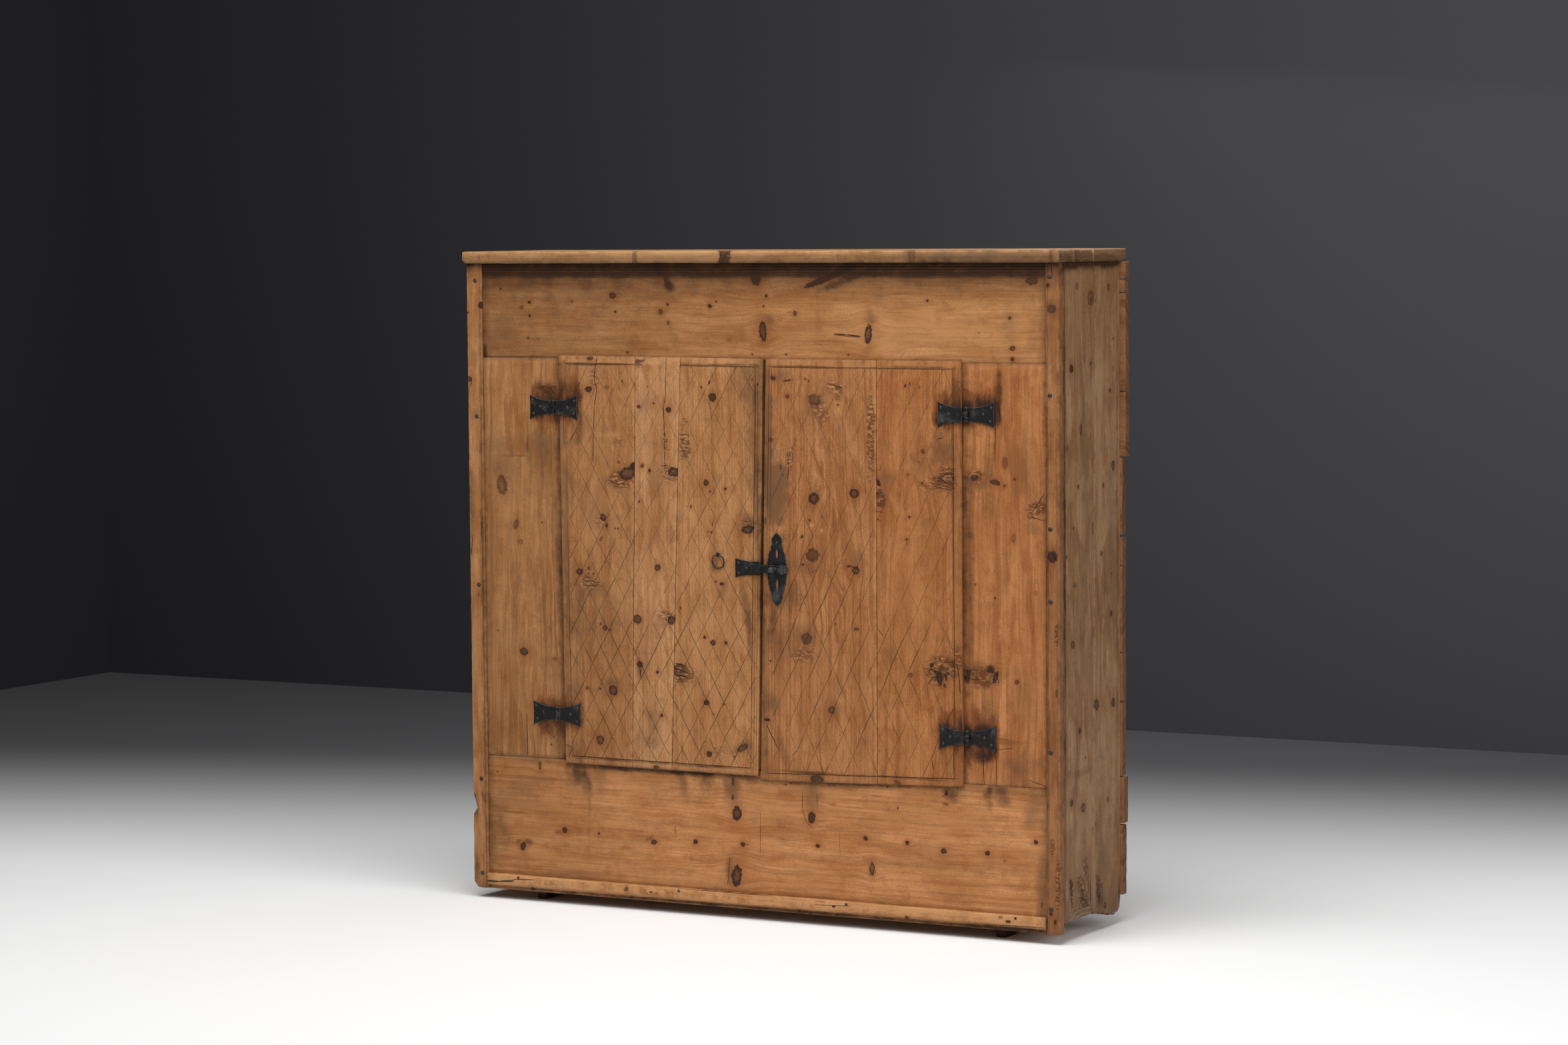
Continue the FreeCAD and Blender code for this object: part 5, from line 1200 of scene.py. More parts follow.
left_joint_lines = (
    (((379.6, 280), (395.2, 1110)), 1.3, 0.4), (((469.6, 280), (497.4, 1110)), 1.3, 0.4),
    (((231, 1090.4), (310, 1090), (393, 1089.4)), 0.5, 0.9), (((487, 1088.8), (575, 1088), (666, 1087.4)), 0.6, 0.9),
    (((239, 302.8), (440, 302), (648, 301.4)), 0.8, 0.9), (((231.5, 1090), (239, 303)), 0.35, 0.9),
    (((666, 1088), (648, 302)), 0.5, 0.9))
left_plank_marks = (
    dict(
        knots=(
            (262, 675, 7.5, 6.5, 0, 0.85, 0.8), (283, 682, 3.4, 3.4, 0, 0.6), (282, 672, 1.5, 1.5),
            (294, 672, 1.7, 1.7), (319.5, 564, 5, 5, 0, 0.9, 0.85), (309.5, 572, 2.6, 2.4, 0, 0.6), (332, 561, 2, 2),
            (276, 442, 4, 3.6, 0, 0.6, 0.6), (307, 442, 2, 2), (337, 440, 10.5, 10, 0, 0.85, 0.8),
            (306, 339, 9, 9, 0, 0.75, 0.8), (287, 1040, 8, 6, 10, 0.85, 0.4), (329, 1044, 6, 4, 0, 0.35),
            (291, 1102, 8, 4, 0, 0.8), (365, 1057, 1.5, 2), (375, 874, 19, 13, 10, 0.85, 0.85),
            (388, 889, 8, 7, 40, 1.0, 0.0), (318, 785, 7, 7, 0, 0.8, 0.8), (326, 770, 3, 4.4, 0, 0.85, 0.2),
            (345, 764, 1.3, 1.3), (352, 764, 1.5, 2), (312, 742, 3, 6, -30, 0.45, 0.1), (355, 896, 4, 3, 0, 0.5)),
        cracks=(
            (((308, 1106), (301, 1075), (300, 1060), (306, 1040), (300, 1007), (297, 957), (295.5, 895)), 1.3, 1.2),
            (((330, 860), (350, 852), (372, 855)), 1.2, 8.0), (((340, 848), (366, 845)), 1.0, 8.0),
            (((268, 660), (298, 655)), 1.2, 9.0), (((272, 650), (300, 645)), 1.0, 9.0),
            (((228, 985), (229, 925)), 0.8, 1.0), (((262, 965), (236, 930)), 0.9, 1.5),
            (((224, 325), (240, 320), (232, 300)), 1.2, 8.0)),
        patches=(
            (250, 1040, 24, 30, (0.3, 0.1, 0)), (262, 955, 14, 36, -20, (0.34, 0, 0)),
            (245, 430, 22, 50, -10, (0.22, 0.1, 0)), (246, 310, 30, 24, (0.2, 0.1, 0)),
            (300, 790, 26, 40, (0, 0.3, 0.4)), (290, 745, 24, 24, (0, 0, 0.7)), (340, 951, 30, 6, 3, (0, 0, 0.8)),
            (365, 1045, 14, 12, (0.12, 0.1, 0)), (330, 455, 20, 14, (0.15, 0.3, 0)),
            (300, 640, 30, 18, (0.1, 0.2, 0)), (255, 600, 30, 90, (0.2, 0, 0)), (300, 560, 60, 90, (0.05, 0.1, 0)),
            # the pale band along the top edge is worn wood and painted highlight
            (330, 860, 20, 12, (0, 0.3, 0)), (300, 1110, 100, 5, (0, 0, 0.9)), (231, 700, 9, 420, (0.12, 0.4, 0)),
            (290, 900, 50, 120, (0, 0, 0.25)), (300, 1090, 90, 3, (0.5, 0, 0)), (350, 300, 120, 3, (0.4, 0, 0))),
        # darker towards the outer edge and the foot: painted shade, with dirt; the pale head band is worn wood and
        # painted highlight
        heart=(300, 60, 0.04), seed=20.0, tone=(153, 105, 64), dirt_and_shade=((0, 230, 216, 0.45), (2, 296, 286, 0.3)),
        rubbed=((2, 1088, 1092, 1.0), (2, 303, 297, 0.6)),
        seeps=((234, 1005, 24, 9, (15, 50, 30), 0.86), (230, 386, 24, 8, (14, 28, 28), 0.72)),
        torn=(
            (358, 862, 26, 22, 1.0), (285, 652, 24, 16, 0.9), (300, 1060, 14, 30, 0.5), (318, 778, 20, 14, 0.5),
            (355, 935, 16, 14, 0.4))),
    dict(
        knots=(
            (442, 689, 7, 7, 0, 0.7, 0.3), (394, 585, 11, 9, 0, 0.7, 0.4), (472, 586, 9, 9, 0, 0.75, 0.4),
            (399.5, 495, 7, 6, 0, 0.9, 0.2), (439, 481, 3, 3), (448, 395, 3.4, 3.2), (402, 1007, 4.5, 3, 0, 0.8),
            (436, 1014, 2, 2), (470, 1002, 6.5, 5.5, 0, 0.85, 0.3), (409, 890, 5, 3.4, 20, 0.65), (426, 881, 3, 3),
            (480, 879, 13, 9.5, 0, 0.75, 0.45), (401, 819, 1.8, 1.8), (423, 1047, 1.2, 1.2), (434, 291, 6, 4, 0, 0.8),
            (425, 877, 2, 5, 0, 0.4)),
        cracks=(
            (
                ((466, 1106), (465, 1070), (464, 1025), (459, 1010), (459.5, 980), (460.5, 945), (460.5, 880)), 1.2,
                1.0),
            (((399, 488), (400, 470)), 2.0, 2.0), (((455, 598), (474, 599)), 1.4, 4.0),
            (((458, 590), (464, 580)), 1.0, 5.0), (((452, 890), (468, 893)), 1.0, 5.0),
            (((455, 868), (480, 862)), 0.7, 4.0)),
        patches=(
            # the pale patch at the head is worn wood and painted highlight
            (404, 1095, 16, 9, 30, (0.3, 0.2, 0)), (430, 1098, 22, 9, (0, 0, 0.6)), (449, 1022, 11, 9, (0.12, 0, 0)),
            (415, 1010, 26, 50, (0.05, 0.2, 0)), (400, 430, 9, 14, (0, 0, 0.8)), (440, 570, 16, 24, (0.08, 0, 0)),
            (430, 640, 30, 80, (0, 0, 0.3)), (420, 370, 34, 60, (0.1, 0.1, 0)), (440, 860, 20, 30, (0, 0.2, 0)),
            (400, 480, 7, 16, (0.3, 0, 0)), (430, 300, 60, 3, (0.4, 0, 0))),
        # darker towards the foot: painted shade, with dirt; the pale head band is worn wood and painted highlight
        heart=(440, 30, 0.03), seed=21.0, tone=(166, 118, 77), dirt_and_shade=((2, 296, 286, 0.3),),
        rubbed=((2, 1087, 1093, 0.7), (2, 303, 297, 0.5)),
        torn=((478, 878, 28, 16, 0.9), (455, 596, 20, 14, 0.6), (405, 1095, 16, 12, 0.7), (462, 940, 6, 30, 0.7))),
    dict(
        knots=(
            (587, 662, 5, 3.5, 0, 0.8, 0.2), (574, 666, 2, 2), (493, 611, 1.6, 2.4), (547.5, 555, 3.4, 3),
            (566, 545, 6, 5.5, 0, 0.75, 0.4), (595, 546, 3.4, 3.4), (489, 487, 14, 13, 0, 0.5, 0.6),
            (550, 426, 6, 6, 0, 0.9, 0.2), (590, 424, 2, 2, 0, 0.6), (555, 324, 6, 6, 0, 0.85, 0.3),
            (630, 340, 14, 6, 28, 0.65, 0.6), (612, 322, 1.6, 1.6), (570, 1028, 8.5, 8.5, 0, 0.9, 0.5),
            (563, 1057, 1.7, 4, -20, 0.8), (545, 1047, 2, 2.4, 0, 0.7), (553, 860, 6.5, 6, 0, 0.8, 0.4),
            (562, 843, 2, 2), (597, 849, 2.5, 2.4), (519, 812, 1.7, 3), (647, 771, 14, 8, 12, 0.85, 0.6),
            (557, 764, 1.5, 1.5), (565, 763, 2.2, 2), (567, 779, 1, 4, 0, 0.8), (659, 1064, 1.6, 1.6),
            (671, 1055, 2, 2.6)),
        cracks=(
            (((478, 500), (500, 496)), 1.4, 9.0), (((478, 490), (512, 482)), 2.0, 9.0),
            (((480, 478), (518, 472)), 1.6, 9.0), (((482, 470), (500, 466)), 1.0, 9.0),
            (((496, 953), (510, 954)), 1.2, 3.0), (((497, 945), (514, 940)), 0.9, 7.0),
            (((497, 932), (518, 927)), 1.1, 8.0), (((500, 922), (520, 918)), 0.9, 8.0),
            (((502, 912), (516, 908)), 0.9, 8.0), (((665, 1100), (662, 700), (655, 300)), 0.6, 1.0),
            (((672, 1100), (668, 700), (661, 300)), 0.7, 1.0), (((640, 775), (655, 768)), 1.0, 7.0),
            (((500, 985), (515, 985)), 0.4, 1.0)),
        patches=(
            (640, 620, 10, 60, 4, (0.3, 0.25, 0)), (648, 560, 7, 60, (0.2, 0.2, 0)),
            (655, 940, 22, 180, (0.15, 0.1, 0)), (650, 1060, 40, 50, (0.15, 0.2, 0)),
            (492, 485, 24, 22, (0.2, 0.3, 0)), (507, 930, 16, 28, (0.1, 0.25, 0)), (508, 978, 9, 9, (0, 0, 0.6)),
            # the pale band along the top edge is worn wood and painted highlight
            (590, 330, 50, 40, (0, 0, 0.4)), (560, 600, 60, 120, (0, 0, 0.3)), (585, 1107, 100, 5, (0, 0, 0.8)),
            (580, 1092, 100, 3, (0.4, 0, 0)), (648, 790, 20, 18, (0.2, 0.2, 0)), (672, 690, 8, 420, 1, (0.3, 0.1, 0)),
            (570, 1000, 30, 60, (0.06, 0, 0)), (630, 340, 24, 14, 25, (0.2, 0.2, 0)),
            (570, 698, 14, 16, (0.18, 0, 0)), (590, 650, 14, 24, (0.15, 0.1, 0)), (560, 299, 110, 3, (0.4, 0, 0))),
        # darker towards the meeting edge and the foot: painted shade, with dirt; the pale head band is worn wood and
        # painted highlight
        heart=(600, 50, -0.03), seed=22.0, tone=(161, 112, 69), dirt_and_shade=((0, 664, 682, 0.5), (2, 296, 286, 0.3)),
        rubbed=((2, 1088, 1092, 1.0), (2, 303, 297, 0.6)),
        torn=(
            (507, 928, 13, 34, 1.2), (494, 480, 26, 22, 1.0), (647, 778, 22, 16, 0.7), (508, 978, 10, 9, 0.6),
            (575, 330, 40, 16, 0.4))))
make_door("left", ((223.0, 286.9), (664.2, 285.3), (682.2, 1104.5), (215.5, 1107.7)),
          ((232.5, 298.3), (664.5, 298.3), (682.0, 1098.5), (232.5, 1098.5)), ((0.385, 0.355), (0.604, 0.559)),
          (0, 487, 0), left_joint_lines, left_plank_marks, ring=5.0, wave=30, figure=0.32,
          lattice=scored(((0.56, 229.5, 42.0, 0.36), (-0.56, 316.5, 37.7, 0.36)), 303, 1090, 239, 661))
right_joint_lines = (
    (((927.4, 270), (929.7, 1110)), 1.3, 0.4), (((703, 1087.4), (900, 1087.6), (1092, 1087.6)), 0.7, 0.9),
    (((686, 294), (880, 300), (1093, 306)), 0.7, 0.9), (((703, 1088), (686, 294)), 0.4, 0.9),
    (((1092.4, 1087), (1093.6, 306)), 0.6, 0.9))
right_plank_marks = (
    dict(
        knots=(
            (775, 562, 12.5, 11.5, 0, 0.55, 0.3), (829, 425, 7.5, 7.5, 0, 0.7, 0.7), (884, 585, 6, 3, 0, 0.5, 0.1),
            (768, 706, 3, 2.4), (883, 699, 8, 8, 0, 0.8, 0.95), (695, 515, 2, 2), (686, 399, 7, 3, 0, 0.75, 0.1),
            (796, 288, 14, 9, 0, 0.7, 0.3), (736, 1032, 4.6, 3.6, 0, 0.8, 0.9), (705, 1067, 6, 4, -20, 0.7, 0.1),
            (737, 1063, 9, 1.4, 8, 0.9, 0), (776, 1066, 2, 1.6), (783, 1062, 1.8, 1.6),
            (796, 1026, 14, 11, 0, 0.5, 0.3), (846, 1031, 6, 6, 0, 0.4), (847, 1017, 3, 2.4, 0, 0.6, 0.7),
            (699, 947, 6, 5, 0, 0.45, 0.1), (720, 894, 2.5, 5, 0, 0.6), (725, 879, 2, 3, 0, 0.5),
            (745, 932, 2, 2, 0, 0.4), (793, 835, 11, 11, 30, 0.95, 0.9), (881, 847, 10, 9, 0, 0.95, 0.92),
            (783, 793, 2.5, 2.5, 0, 0.7), (766, 760, 2.4, 3.4, -30, 0.9), (789, 725, 14, 13, 0, 0.62, 0.45),
            (868, 706, 4, 2.4, 20, 0.8), (685, 789, 3, 7, 0, 0.5), (838, 594, 1.5, 1.5)),
        cracks=(
            (((838, 1054), (858, 1050)), 1.2, 7.0), (((805, 985), (815, 972)), 1.0, 7.0),
            (((736, 920), (738, 895), (735, 870)), 0.9, 4.0), (((746, 925), (747, 905)), 0.7, 2.0),
            (((866, 708), (892, 700)), 1.6, 7.0), (((688, 1100), (676, 700), (672, 300)), 0.7, 1.0),
            (((697, 1100), (688, 700), (684, 300)), 0.5, 1.0), (((910, 980), (925, 965)), 1.0, 8.0),
            (((908, 950), (924, 938)), 1.0, 8.0), (((908, 925), (924, 912)), 0.9, 8.0),
            (((912, 1000), (925, 995)), 0.9, 7.0), (((910, 898), (924, 890)), 0.8, 7.0),
            (((684, 390), (712, 340)), 1.6, 4.0), (((740, 330), (753, 343)), 0.8, 3.0),
            (((800, 698), (786, 690)), 0.5, 4.0)),
        patches=(
            (690, 930, 14, 160, (0.14, 0.9, 0)), (712, 845, 30, 60, (0.1, 1.2, 0)),
            (797, 1010, 30, 34, (0.1, 0.3, 0)), (835, 1052, 30, 22, (0, 0.35, 0)),
            (720, 1070, 40, 14, (0.12, 0.2, 0)), (745, 640, 26, 34, (0.3, 0.2, 0)), (705, 640, 26, 24, (0.34, 0, 0)),
            (700, 590, 12, 40, -10, (0.3, 0.1, 0)), (720, 700, 36, 60, (0.15, 0.1, 0)),
            (770, 560, 30, 30, (0.08, 0.3, 0)), (715, 560, 34, 60, (0.15, 0.15, 0)),
            (700, 430, 18, 24, (0.08, 0.45, 0)), (715, 350, 10, 60, 25, (0.15, 0.1, 0)),
            (788, 784, 5, 5, (0, 0, 1.6)), (810, 772, 4, 5, (0, 0, 1.2)), (815, 840, 5, 16, -20, (0, 0, 0.8)),
            (917, 950, 9, 90, (0.05, 0.4, 0)), (885, 725, 20, 22, (0.05, 0.4, 0)),
            (675, 700, 7, 420, 1, (0.25, 0.4, 0)), (840, 1107, 160, 4, (0.1, 0.2, 0)),
            (770, 1090, 80, 3, (0.4, 0, 0)), (790, 470, 60, 80, (0, 0, 0.25)), (796, 292, 22, 12, (0.1, 0.4, 0)),
            (800, 300, 130, 3, (0.4, 0, 0)), (775, 700, 26, 30, (0.1, 0.2, 0)), (830, 430, 24, 26, (0.05, 0.2, 0))),
        heart=(838, 24, 0.035), ring=5.5, wave=60, figure=0.5, seed=23.0, tone=(156, 104, 62),
        # darker towards the meeting edge and the foot: painted shade, with dirt; the pale head band is worn wood and
        # painted highlight
        dirt_and_shade=((0, 700, 672, 0.35), (2, 290, 276, 0.3)), rubbed=((2, 1085, 1091, 0.5), (2, 294, 288, 0.4)),
        torn=(
            (837, 1050, 26, 14, 0.9), (808, 1000, 18, 26, 0.7), (917, 965, 10, 80, 1.1), (770, 530, 34, 16, 0.6),
            (740, 905, 8, 24, 0.8), (795, 850, 20, 16, 0.4))),
    dict(
        knots=(
            (1001, 501, 5, 5, 0, 0.5, 0.3), (1080, 525, 17, 9, 15, 0.35, 0.7), (1062, 498, 6, 14, 8, 0.8, 0.5),
            (1045, 522, 4, 4, 0, 0.8, 0.1), (1076, 500, 2.4, 8, 10, 0.8, 0.1), (971, 292, 7, 4, -20, 0.5),
            (992, 1056, 2, 3.4, -20, 0.9), (1002, 1059, 1.4, 3, 0, 0.8), (997, 886, 3.2, 2.8, 0, 0.6, 0.9),
            (1027, 870, 2.2, 2), (1029, 931, 5, 5, 0, 0.5, 0.3), (1029, 930, 1.8, 1.8, 0, 1.0),
            (1078, 878, 20, 12, 25, 0.45, 0.8), (937, 838, 11, 18, 10, 0.5, 0.9), (932, 869, 5, 7, 40, 1.0, 0),
            (999, 805, 2.4, 2.2), (993, 762, 2, 2), (1020, 911, 2, 2, 0, 0.4), (1073, 484, 3, 4, 0, 0.7),
            (1080, 508, 3, 2.4), (1022, 1053, 2, 2, 0, 0.5), (931, 351, 1.2, 1.2), (1063, 536, 2, 2),
            (1053, 511, 3, 2.4)),
        cracks=(
            (((1050, 878), (1064, 882), (1082, 870)), 1.6, 6.0), (((1052, 866), (1090, 858)), 1.0, 9.0),
            (((1072, 886), (1090, 893)), 1.0, 7.0), (((1048, 500), (1038, 485)), 1.4, 5.0),
            (((1056, 508), (1060, 490)), 1.2, 5.0), (((1066, 528), (1092, 530)), 1.2, 8.0),
            (((1040, 512), (1056, 518)), 1.4, 7.0), (((1091, 355), (1092, 300)), 1.0, 0.8),
            (((1044, 340), (1049, 320)), 1.2, 1.5), (((928, 815), (945, 812)), 1.2, 7.0),
            (((928, 800), (938, 797)), 1.0, 6.0), (((1090, 1060), (1092, 300)), 0.5, 0.8),
            (((1098, 530), (1104, 500), (1106, 470)), 1.4, 3.0), (((928, 590), (941, 575)), 0.9, 3.0),
            (((1060, 955), (1072, 958)), 1.2, 3.0)),
        patches=(
            (1070, 940, 26, 40, (0.12, 0.5, 0)), (1030, 910, 30, 30, (0, 0.35, 0)),
            (1078, 876, 34, 24, 20, (0.05, 0.5, 0)), (975, 820, 12, 34, 30, (0, 0.1, 0.7)),
            (935, 840, 14, 26, (0, 0.2, 0.5)), (955, 880, 26, 20, (0.05, 0.35, 0)),
            (1070, 520, 34, 26, (0.1, 0.4, 0.2)), (1100, 545, 12, 20, (0, 0.2, 0.7)),
            (1065, 505, 26, 18, (0.35, 0, 0.2)), (960, 430, 13, 8, (0, 0, 0.7)), (955, 540, 20, 24, (0, 0.4, 0)),
            (1085, 340, 20, 30, (0.2, 0, 0)), (1000, 660, 60, 140, (0, 0, 0.2)), (1095, 900, 8, 200, (0.1, 0.3, 0)),
            # the pale band along the top edge is worn wood and painted highlight
            (1000, 1110, 100, 4, (0, 0, 0.5)), (1010, 1092, 90, 2.5, (0.4, 0, 0)), (1095, 700, 4, 160, (0, 0.2, 0.4)),
            (1000, 302, 90, 3, (0.4, 0, 0)), (1100, 1050, 9, 40, (0.3, 0, 0))),
        seeps=((1092, 1004, 30, 10, (13, 36, 20), 0.95), (1094, 386, 26, 8, (14, 52, 28), 0.84)),
        heart=(1010, 40, 0.03), ring=5.0, wave=34, figure=0.34, seed=24.0, tone=(154, 99, 55),
        # darker towards the outer edge and the foot: painted shade, with dirt; the pale head band is worn wood and
        # painted highlight
        dirt_and_shade=((0, 1098, 1112, 0.4), (2, 292, 278, 0.3)), rubbed=((2, 1085, 1091, 0.5), (2, 294, 288, 0.4)),
        torn=(
            (1072, 876, 34, 26, 20, 1.2), (1068, 512, 34, 30, 1.2), (936, 838, 13, 22, 0.9), (1100, 545, 12, 24, 0.8),
            (1040, 860, 24, 18, 0.5))))
make_door("right", ((669.0, 276.9), (1110.0, 290.7), (1109.0, 1104.6), (687.2, 1104.6)),
          ((669.5, 300.0), (1095.5, 300.0), (1095.5, 1098.5), (687.0, 1098.5)), ((0.575, 0.586),),
          (0, 0), right_joint_lines, right_plank_marks,
          lattice=scored(((0.485, 777.5, 41.4, 0.38), (-0.48, 766.5, 40.0, 0.46)), 300, 1088, 700, 1093))


# The ledges: short rough boards nailed across the inside of each door to hold its planks together.
# They are left as they came from the saw.

ledge_pine = pine("ledge_pine", upright=False, heart=(400, 50, 0.01), ring=5.0, seed=25.0, figure=0.35, tone=INNER_TONE,
                  knots=((300, 1010, 8, 7, 0, 0.7), (560, 380, 9, 8, 0, 0.7), (820, 1000, 7, 6), (1000, 390, 8, 7)))
dress(ledge_pine, "left_door_ledges", "right_door_ledges")


# The ironwork: hinge leaves, latch, keeper and ring, forged by hand, hammered and blackened.
# Their faces are dented, and their edges have been rubbed bright by use.

IRON_RUST = (0.034, 0.018, 0.01, 1)


def make_forged_iron(name, dull, bare, rusted):
    """Hammered iron: dull in its hollows, bright on its ridges and where hands rub it, a little rusty."""
    material, shader = new_finish(name)
    place = stretch(texture_space(shader)[0], (1000, 1000, 1000))
    blows = cloud(place, 0.11)
    grit = cloud(place, 0.8, 4.0, 0.7)
    rust = ease(cloud(place, 0.07, 4.0, 0.6), 0.5, 0.7)
    ridge = ease(geometry(shader, "Pointiness"), 0.507, 0.56)
    handled = ease(cloud(place, 0.03, 3.0, 0.55), 0.52, 0.7, 0.0, 0.7)
    bright = ridge * 1.3 + (handled + ease(blows, 0.6, 0.75, 0.0, 0.3))
    bright = clamped(bright * ease(grit, 0.4, 0.62))
    feed(shader, {"Base Color": blend(rust * rusted, blend(bright, dull, bare), IRON_RUST),
                  "Roughness": ease(grit, 0.3, 0.7, 0.36, 0.6), "Metallic": 0.5,
                  "Normal": raised(blows + grit * 0.3, 0.0012)})
    return material


forged_iron = make_forged_iron("forged_iron", (0.0075, 0.0077, 0.0082, 1), (0.15, 0.15, 0.155, 1), 0.4)
hammering = clouds("hammering", 0.008)


def cut_outline(vertices, outline):
    """Brings the upright edges of a plate to an outline, given as (height, half width) points."""
    middle = (min(v.co.x for v in vertices) + max(v.co.x for v in vertices)) / 2
    level = (min(v.co.z for v in vertices) + max(v.co.z for v in vertices)) / 2
    widths = {}
    for vertex in vertices:
        band = round((vertex.co.z - level) * 1000)
        widths[band] = max(widths.get(band, 0.0), abs(vertex.co.x - middle))
    for vertex in vertices:
        height = (vertex.co.z - level) * 1000
        for (a, a_half), (b, b_half) in zip(outline, outline[1:]):
            if a <= height <= b:
                wanted = a_half + (b_half - a_half) * (height - a) / (b - a)
                vertex.co.x = middle + (vertex.co.x - middle) * wanted / 1000 / max(widths[round(height)], 0.001)
                break
        if 16 < abs(height) < 32:
            vertex.co.y += 0.0003 * math.sin(height * 1.1 + abs(vertex.co.x - middle) * 90)


def forge(node, body, voxel=0.55, dent=0.7, smooth=4, outline=(), iron=forged_iron):
    """Works a plain iron shape by hand: its arrises are softened, its edge is cut and its faces dented."""
    piece = bpy.data.objects.new(node + "_forged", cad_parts[node].data.copy())
    bpy.context.scene.collection.objects.link(piece)
    select_only(piece)
    bpy.ops.object.mode_set(mode="EDIT")
    bpy.ops.mesh.select_all(action="SELECT")
    bpy.ops.mesh.remove_doubles(threshold=CLOSE)
    bpy.ops.object.mode_set(mode="OBJECT")
    work(piece, "REMESH", mode="VOXEL", voxel_size=voxel / 1000)
    if outline:
        cut_outline(piece.data.vertices, outline)
    work(piece, "SMOOTH", factor=0.5, iterations=smooth)
    make_uneven(piece, hammering, dent, 0.55)
    bpy.ops.object.shade_smooth()
    settle(piece, node, body, iron)


for hand in ("left", "right"):
    for level in ("lower", "upper"):
        forge("%s_%s_hinge_case_leaf" % (hand, level), "case")
        forge("%s_%s_hinge_door_leaf" % (hand, level), hand + "_door")
SCALLOPS = (
    (-70.5, 1.5), (-68, 5.5), (-61, 10), (-54, 12.6), (-48.6, 12.2), (-45.5, 13.2), (-43, 15.2), (-38, 16.2),
    (-33, 17.4), (-29, 19.6), (-24, 19), (-19, 21.2), (-14, 20.6), (-9, 22.6), (9, 22.6), (14, 20.8), (18, 21),
    (22, 18.8), (28, 19), (33, 16.2), (38, 12.6), (41, 13.6), (46, 13.2), (49.5, 10), (53, 11.8), (60, 11.2),
    (64, 7.8), (68, 4.5), (70.5, 1.5))
forge("latch_plate", "right_door", outline=SCALLOPS)
forge("keeper_plate", "left_door")
forge("keeper_strap", "left_door", voxel=0.4, dent=0.3, smooth=3)
forge("latch_staples", "right_door", voxel=0.35, dent=0.2, smooth=3)
forge("latch_bolt", "bolt", voxel=0.4, dent=0.3)
handled_iron = make_forged_iron("handled_iron", (0.035, 0.035, 0.037, 1), (0.3, 0.3, 0.31, 1), 0.3)
forge("bolt_knob", "bolt", voxel=0.35, dent=0.15, smooth=3, iron=handled_iron)
dress(forged_iron, "ring_eye", "ring_pull", "hinge_pins")


# The nails: forged nails with low faceted heads, dark with age, along the battens, the top,
# the back and the ledges of the doors.

rusty_iron = make_forged_iron("rusty_iron", (0.016, 0.0115, 0.009, 1), (0.1, 0.075, 0.058, 1), 0.6)
dress(rusty_iron, "case_nails", "back_nails", "left_door_nails", "right_door_nails")


# The room: a pale studio floor that darkens towards grey walls, lit softly from above and in front. The floor's
# darkening and the walls' paling to the right are painted shade and light.
# The floor and the walls are painted board, and the walls are clear from behind.

def plain_paint(name, rough, colour_of):
    """A matt paint whose colour changes from one part of the room to another, painting the fall of the light."""
    material, shader = new_finish(name)
    feed(shader, {"Roughness": rough, "Specular IOR Level": 0.1, "Base Color": colour_of(shader)})
    return material, shader


def floor_falloff_shade(shader):
    """Painted shade: nearly white about the cupboard, darkening towards the walls as the light falls off."""
    across, away = part_axes(texture_space(shader)[0])[:2]
    return blend(ease(away - across * 0.3, 0.3, 2.5), (0.93, 0.93, 0.93, 1), (0.13, 0.13, 0.135, 1))


def wall_light_gradient(shader):
    """Painted light: a dark grey that grows a little paler to the right, where the lamps light the wall more."""
    across = part_axes(geometry(shader, "Position"))[0]
    return blend(ease(across, -4.2, 1.2), (0.033, 0.033, 0.038, 1), (0.076, 0.075, 0.082, 1))


def clear_behind(shader):
    """Lets the camera look through the paint from its rear side."""
    tree = shader.id_data
    clear = Wire(tree.nodes.new("ShaderNodeBsdfTransparent").outputs[0])
    mixed = wired_node("ShaderNodeMixShader", {0: geometry(shader, "Backfacing"), 1: Wire(shader.outputs[0]), 2: clear})
    feed(tree.nodes["Material Output"], {"Surface": Wire(mixed.outputs[0])})


def studio_plane(name, size, place, turn, scale, paint):
    """Adds the floor or a wall, which only the picture shows."""
    bpy.ops.mesh.primitive_plane_add(size=size, location=place, rotation=[math.radians(angle) for angle in turn])
    plane = bpy.context.object
    plane.name = name
    plane.scale = scale
    plane.data.materials.append(paint)


BACK_WALL, SIDE_WALL = 2.93, -3.95
floor_paint, _ = plain_paint("floor_paint", 0.7, floor_falloff_shade)
wall_paint, wall_shader = plain_paint("wall_paint", 0.95, wall_light_gradient)
clear_behind(wall_shader)
studio_plane("studio_floor", 40, (0, 0, 0), (0, 0, 0), (1, 1, 1), floor_paint)
studio_plane("studio_back_wall", 1, (8.05, BACK_WALL, 4), (90, 0, 0), (24, 8, 1), wall_paint)
studio_plane("studio_side_wall", 1, (SIDE_WALL, BACK_WALL - 6, 4), (90, 0, 90), (12, 8, 1), wall_paint)


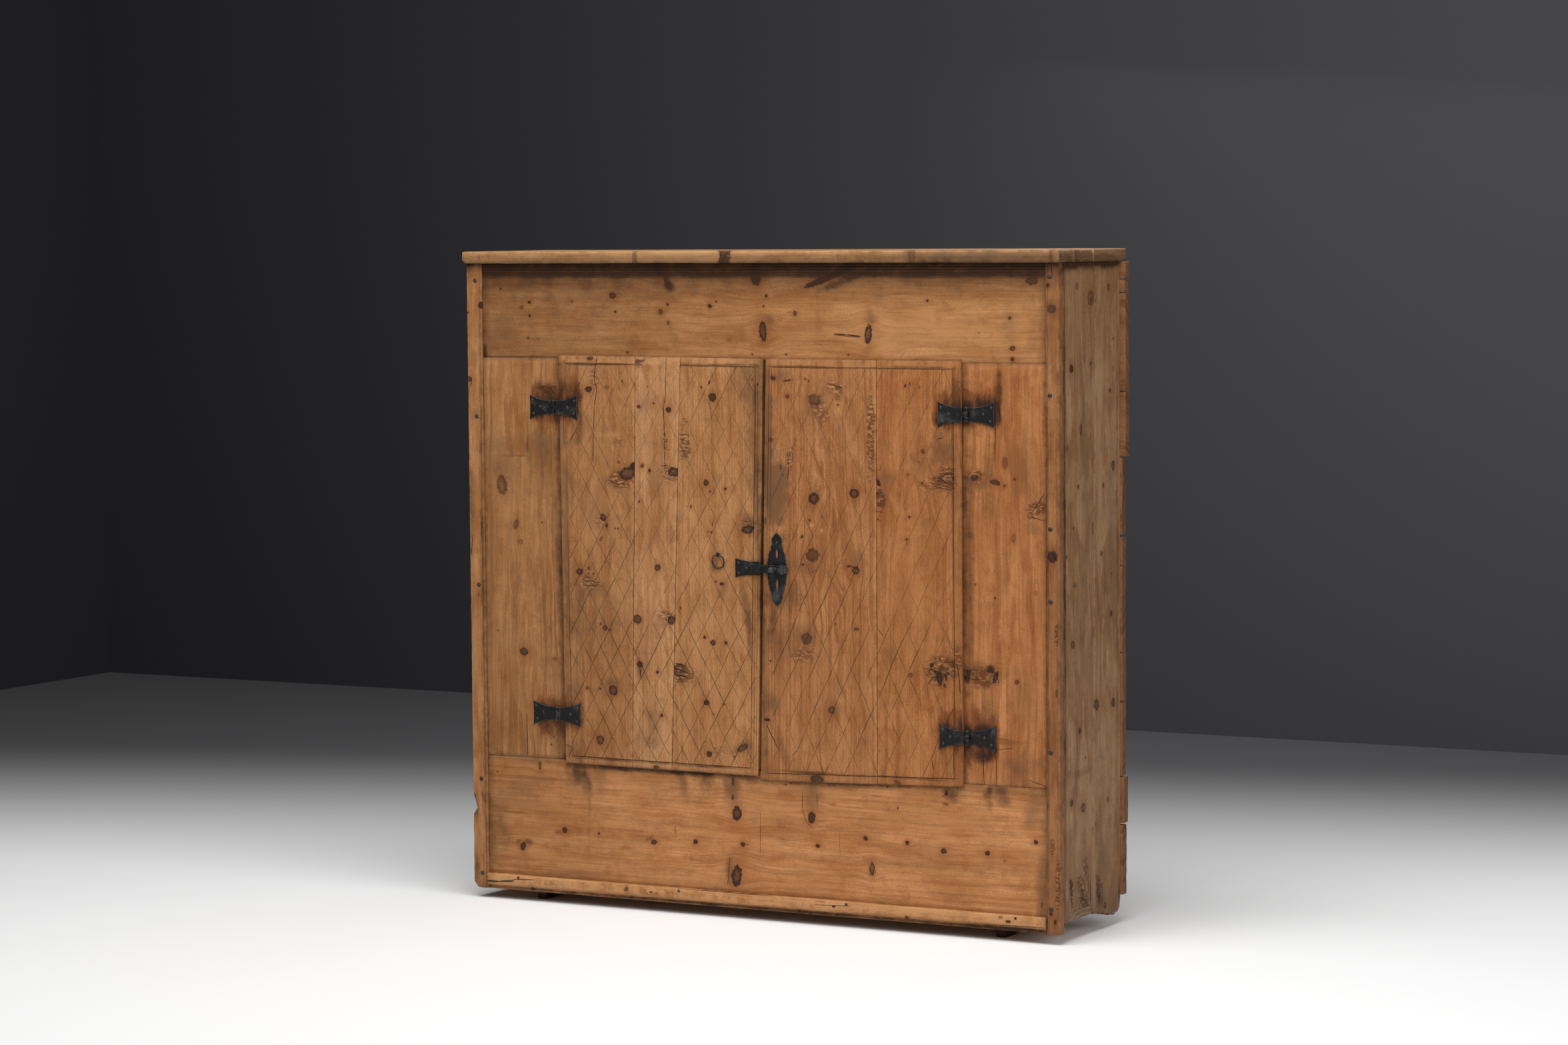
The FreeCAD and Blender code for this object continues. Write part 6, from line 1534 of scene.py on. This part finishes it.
def hang(name, data):
    """Puts a lamp or the camera into the room."""
    holder = bpy.data.objects.new(name, data)
    bpy.context.scene.collection.objects.link(holder)
    return holder


def soft_light(name, place, aim, width, height, power):
    lamp = bpy.data.lights.new(name, "AREA")
    lamp.shape = "RECTANGLE"
    lamp.size, lamp.size_y = width, height
    lamp.energy = power
    holder = hang(name, lamp)
    holder.location = place
    holder.rotation_euler = (Vector(aim) - Vector(place)).to_track_quat("-Z", "Y").to_euler()


soft_light("overhead", (0.25, -1.35, 3.6), (0.05, -0.2, 0.4), 3.4, 2.4, 124)
soft_light("front", (-1.2, -4.3, 3.5), (0, 0, 0.6), 2.6, 1.8, 31)
soft_light("behind", (0.1, 2.5, 2.3), (0, 0.3, 0.6), 1.8, 1.2, 12)
soft_light("right", (4.5, -1.2, 2.2), (0.6, 0, 0.6), 2.5, 2.5, 66)
world = bpy.data.worlds.new("studio")
bpy.context.scene.world = world
world.use_nodes = True
surround = world.node_tree.nodes["Background"]
surround.inputs["Color"].default_value = (1, 1, 1, 1)
surround.inputs["Strength"].default_value = 0.25


# The camera: it stands well to the right, a little above the top of the cupboard, with a long lens.
# Its three turns and its place are what the edges of the cupboard ask for.

YAW, PITCH, ROLL = math.radians(28.432), math.radians(4.233), -0.00756509
EYE = (3.8837, -7.18165, 1.3795)
forward = Vector((-math.sin(YAW) * math.cos(PITCH), math.cos(YAW) * math.cos(PITCH), -math.sin(PITCH)))
level_right = Vector((math.cos(YAW), math.sin(YAW), 0))
level_up = level_right.cross(forward)
right = level_right * math.cos(ROLL) + level_up * math.sin(ROLL)
up = level_up * math.cos(ROLL) - level_right * math.sin(ROLL)
camera = hang("camera", bpy.data.cameras.new("camera"))
camera.matrix_world = Matrix([(right[i], up[i], -forward[i], EYE[i]) for i in range(3)] + [(0, 0, 0, 1)])
camera.data.sensor_width = 36
camera.data.lens = 94.9
camera.data.clip_end = 60
bpy.context.scene.camera = camera
bpy.context.scene.view_settings.view_transform = "Standard"
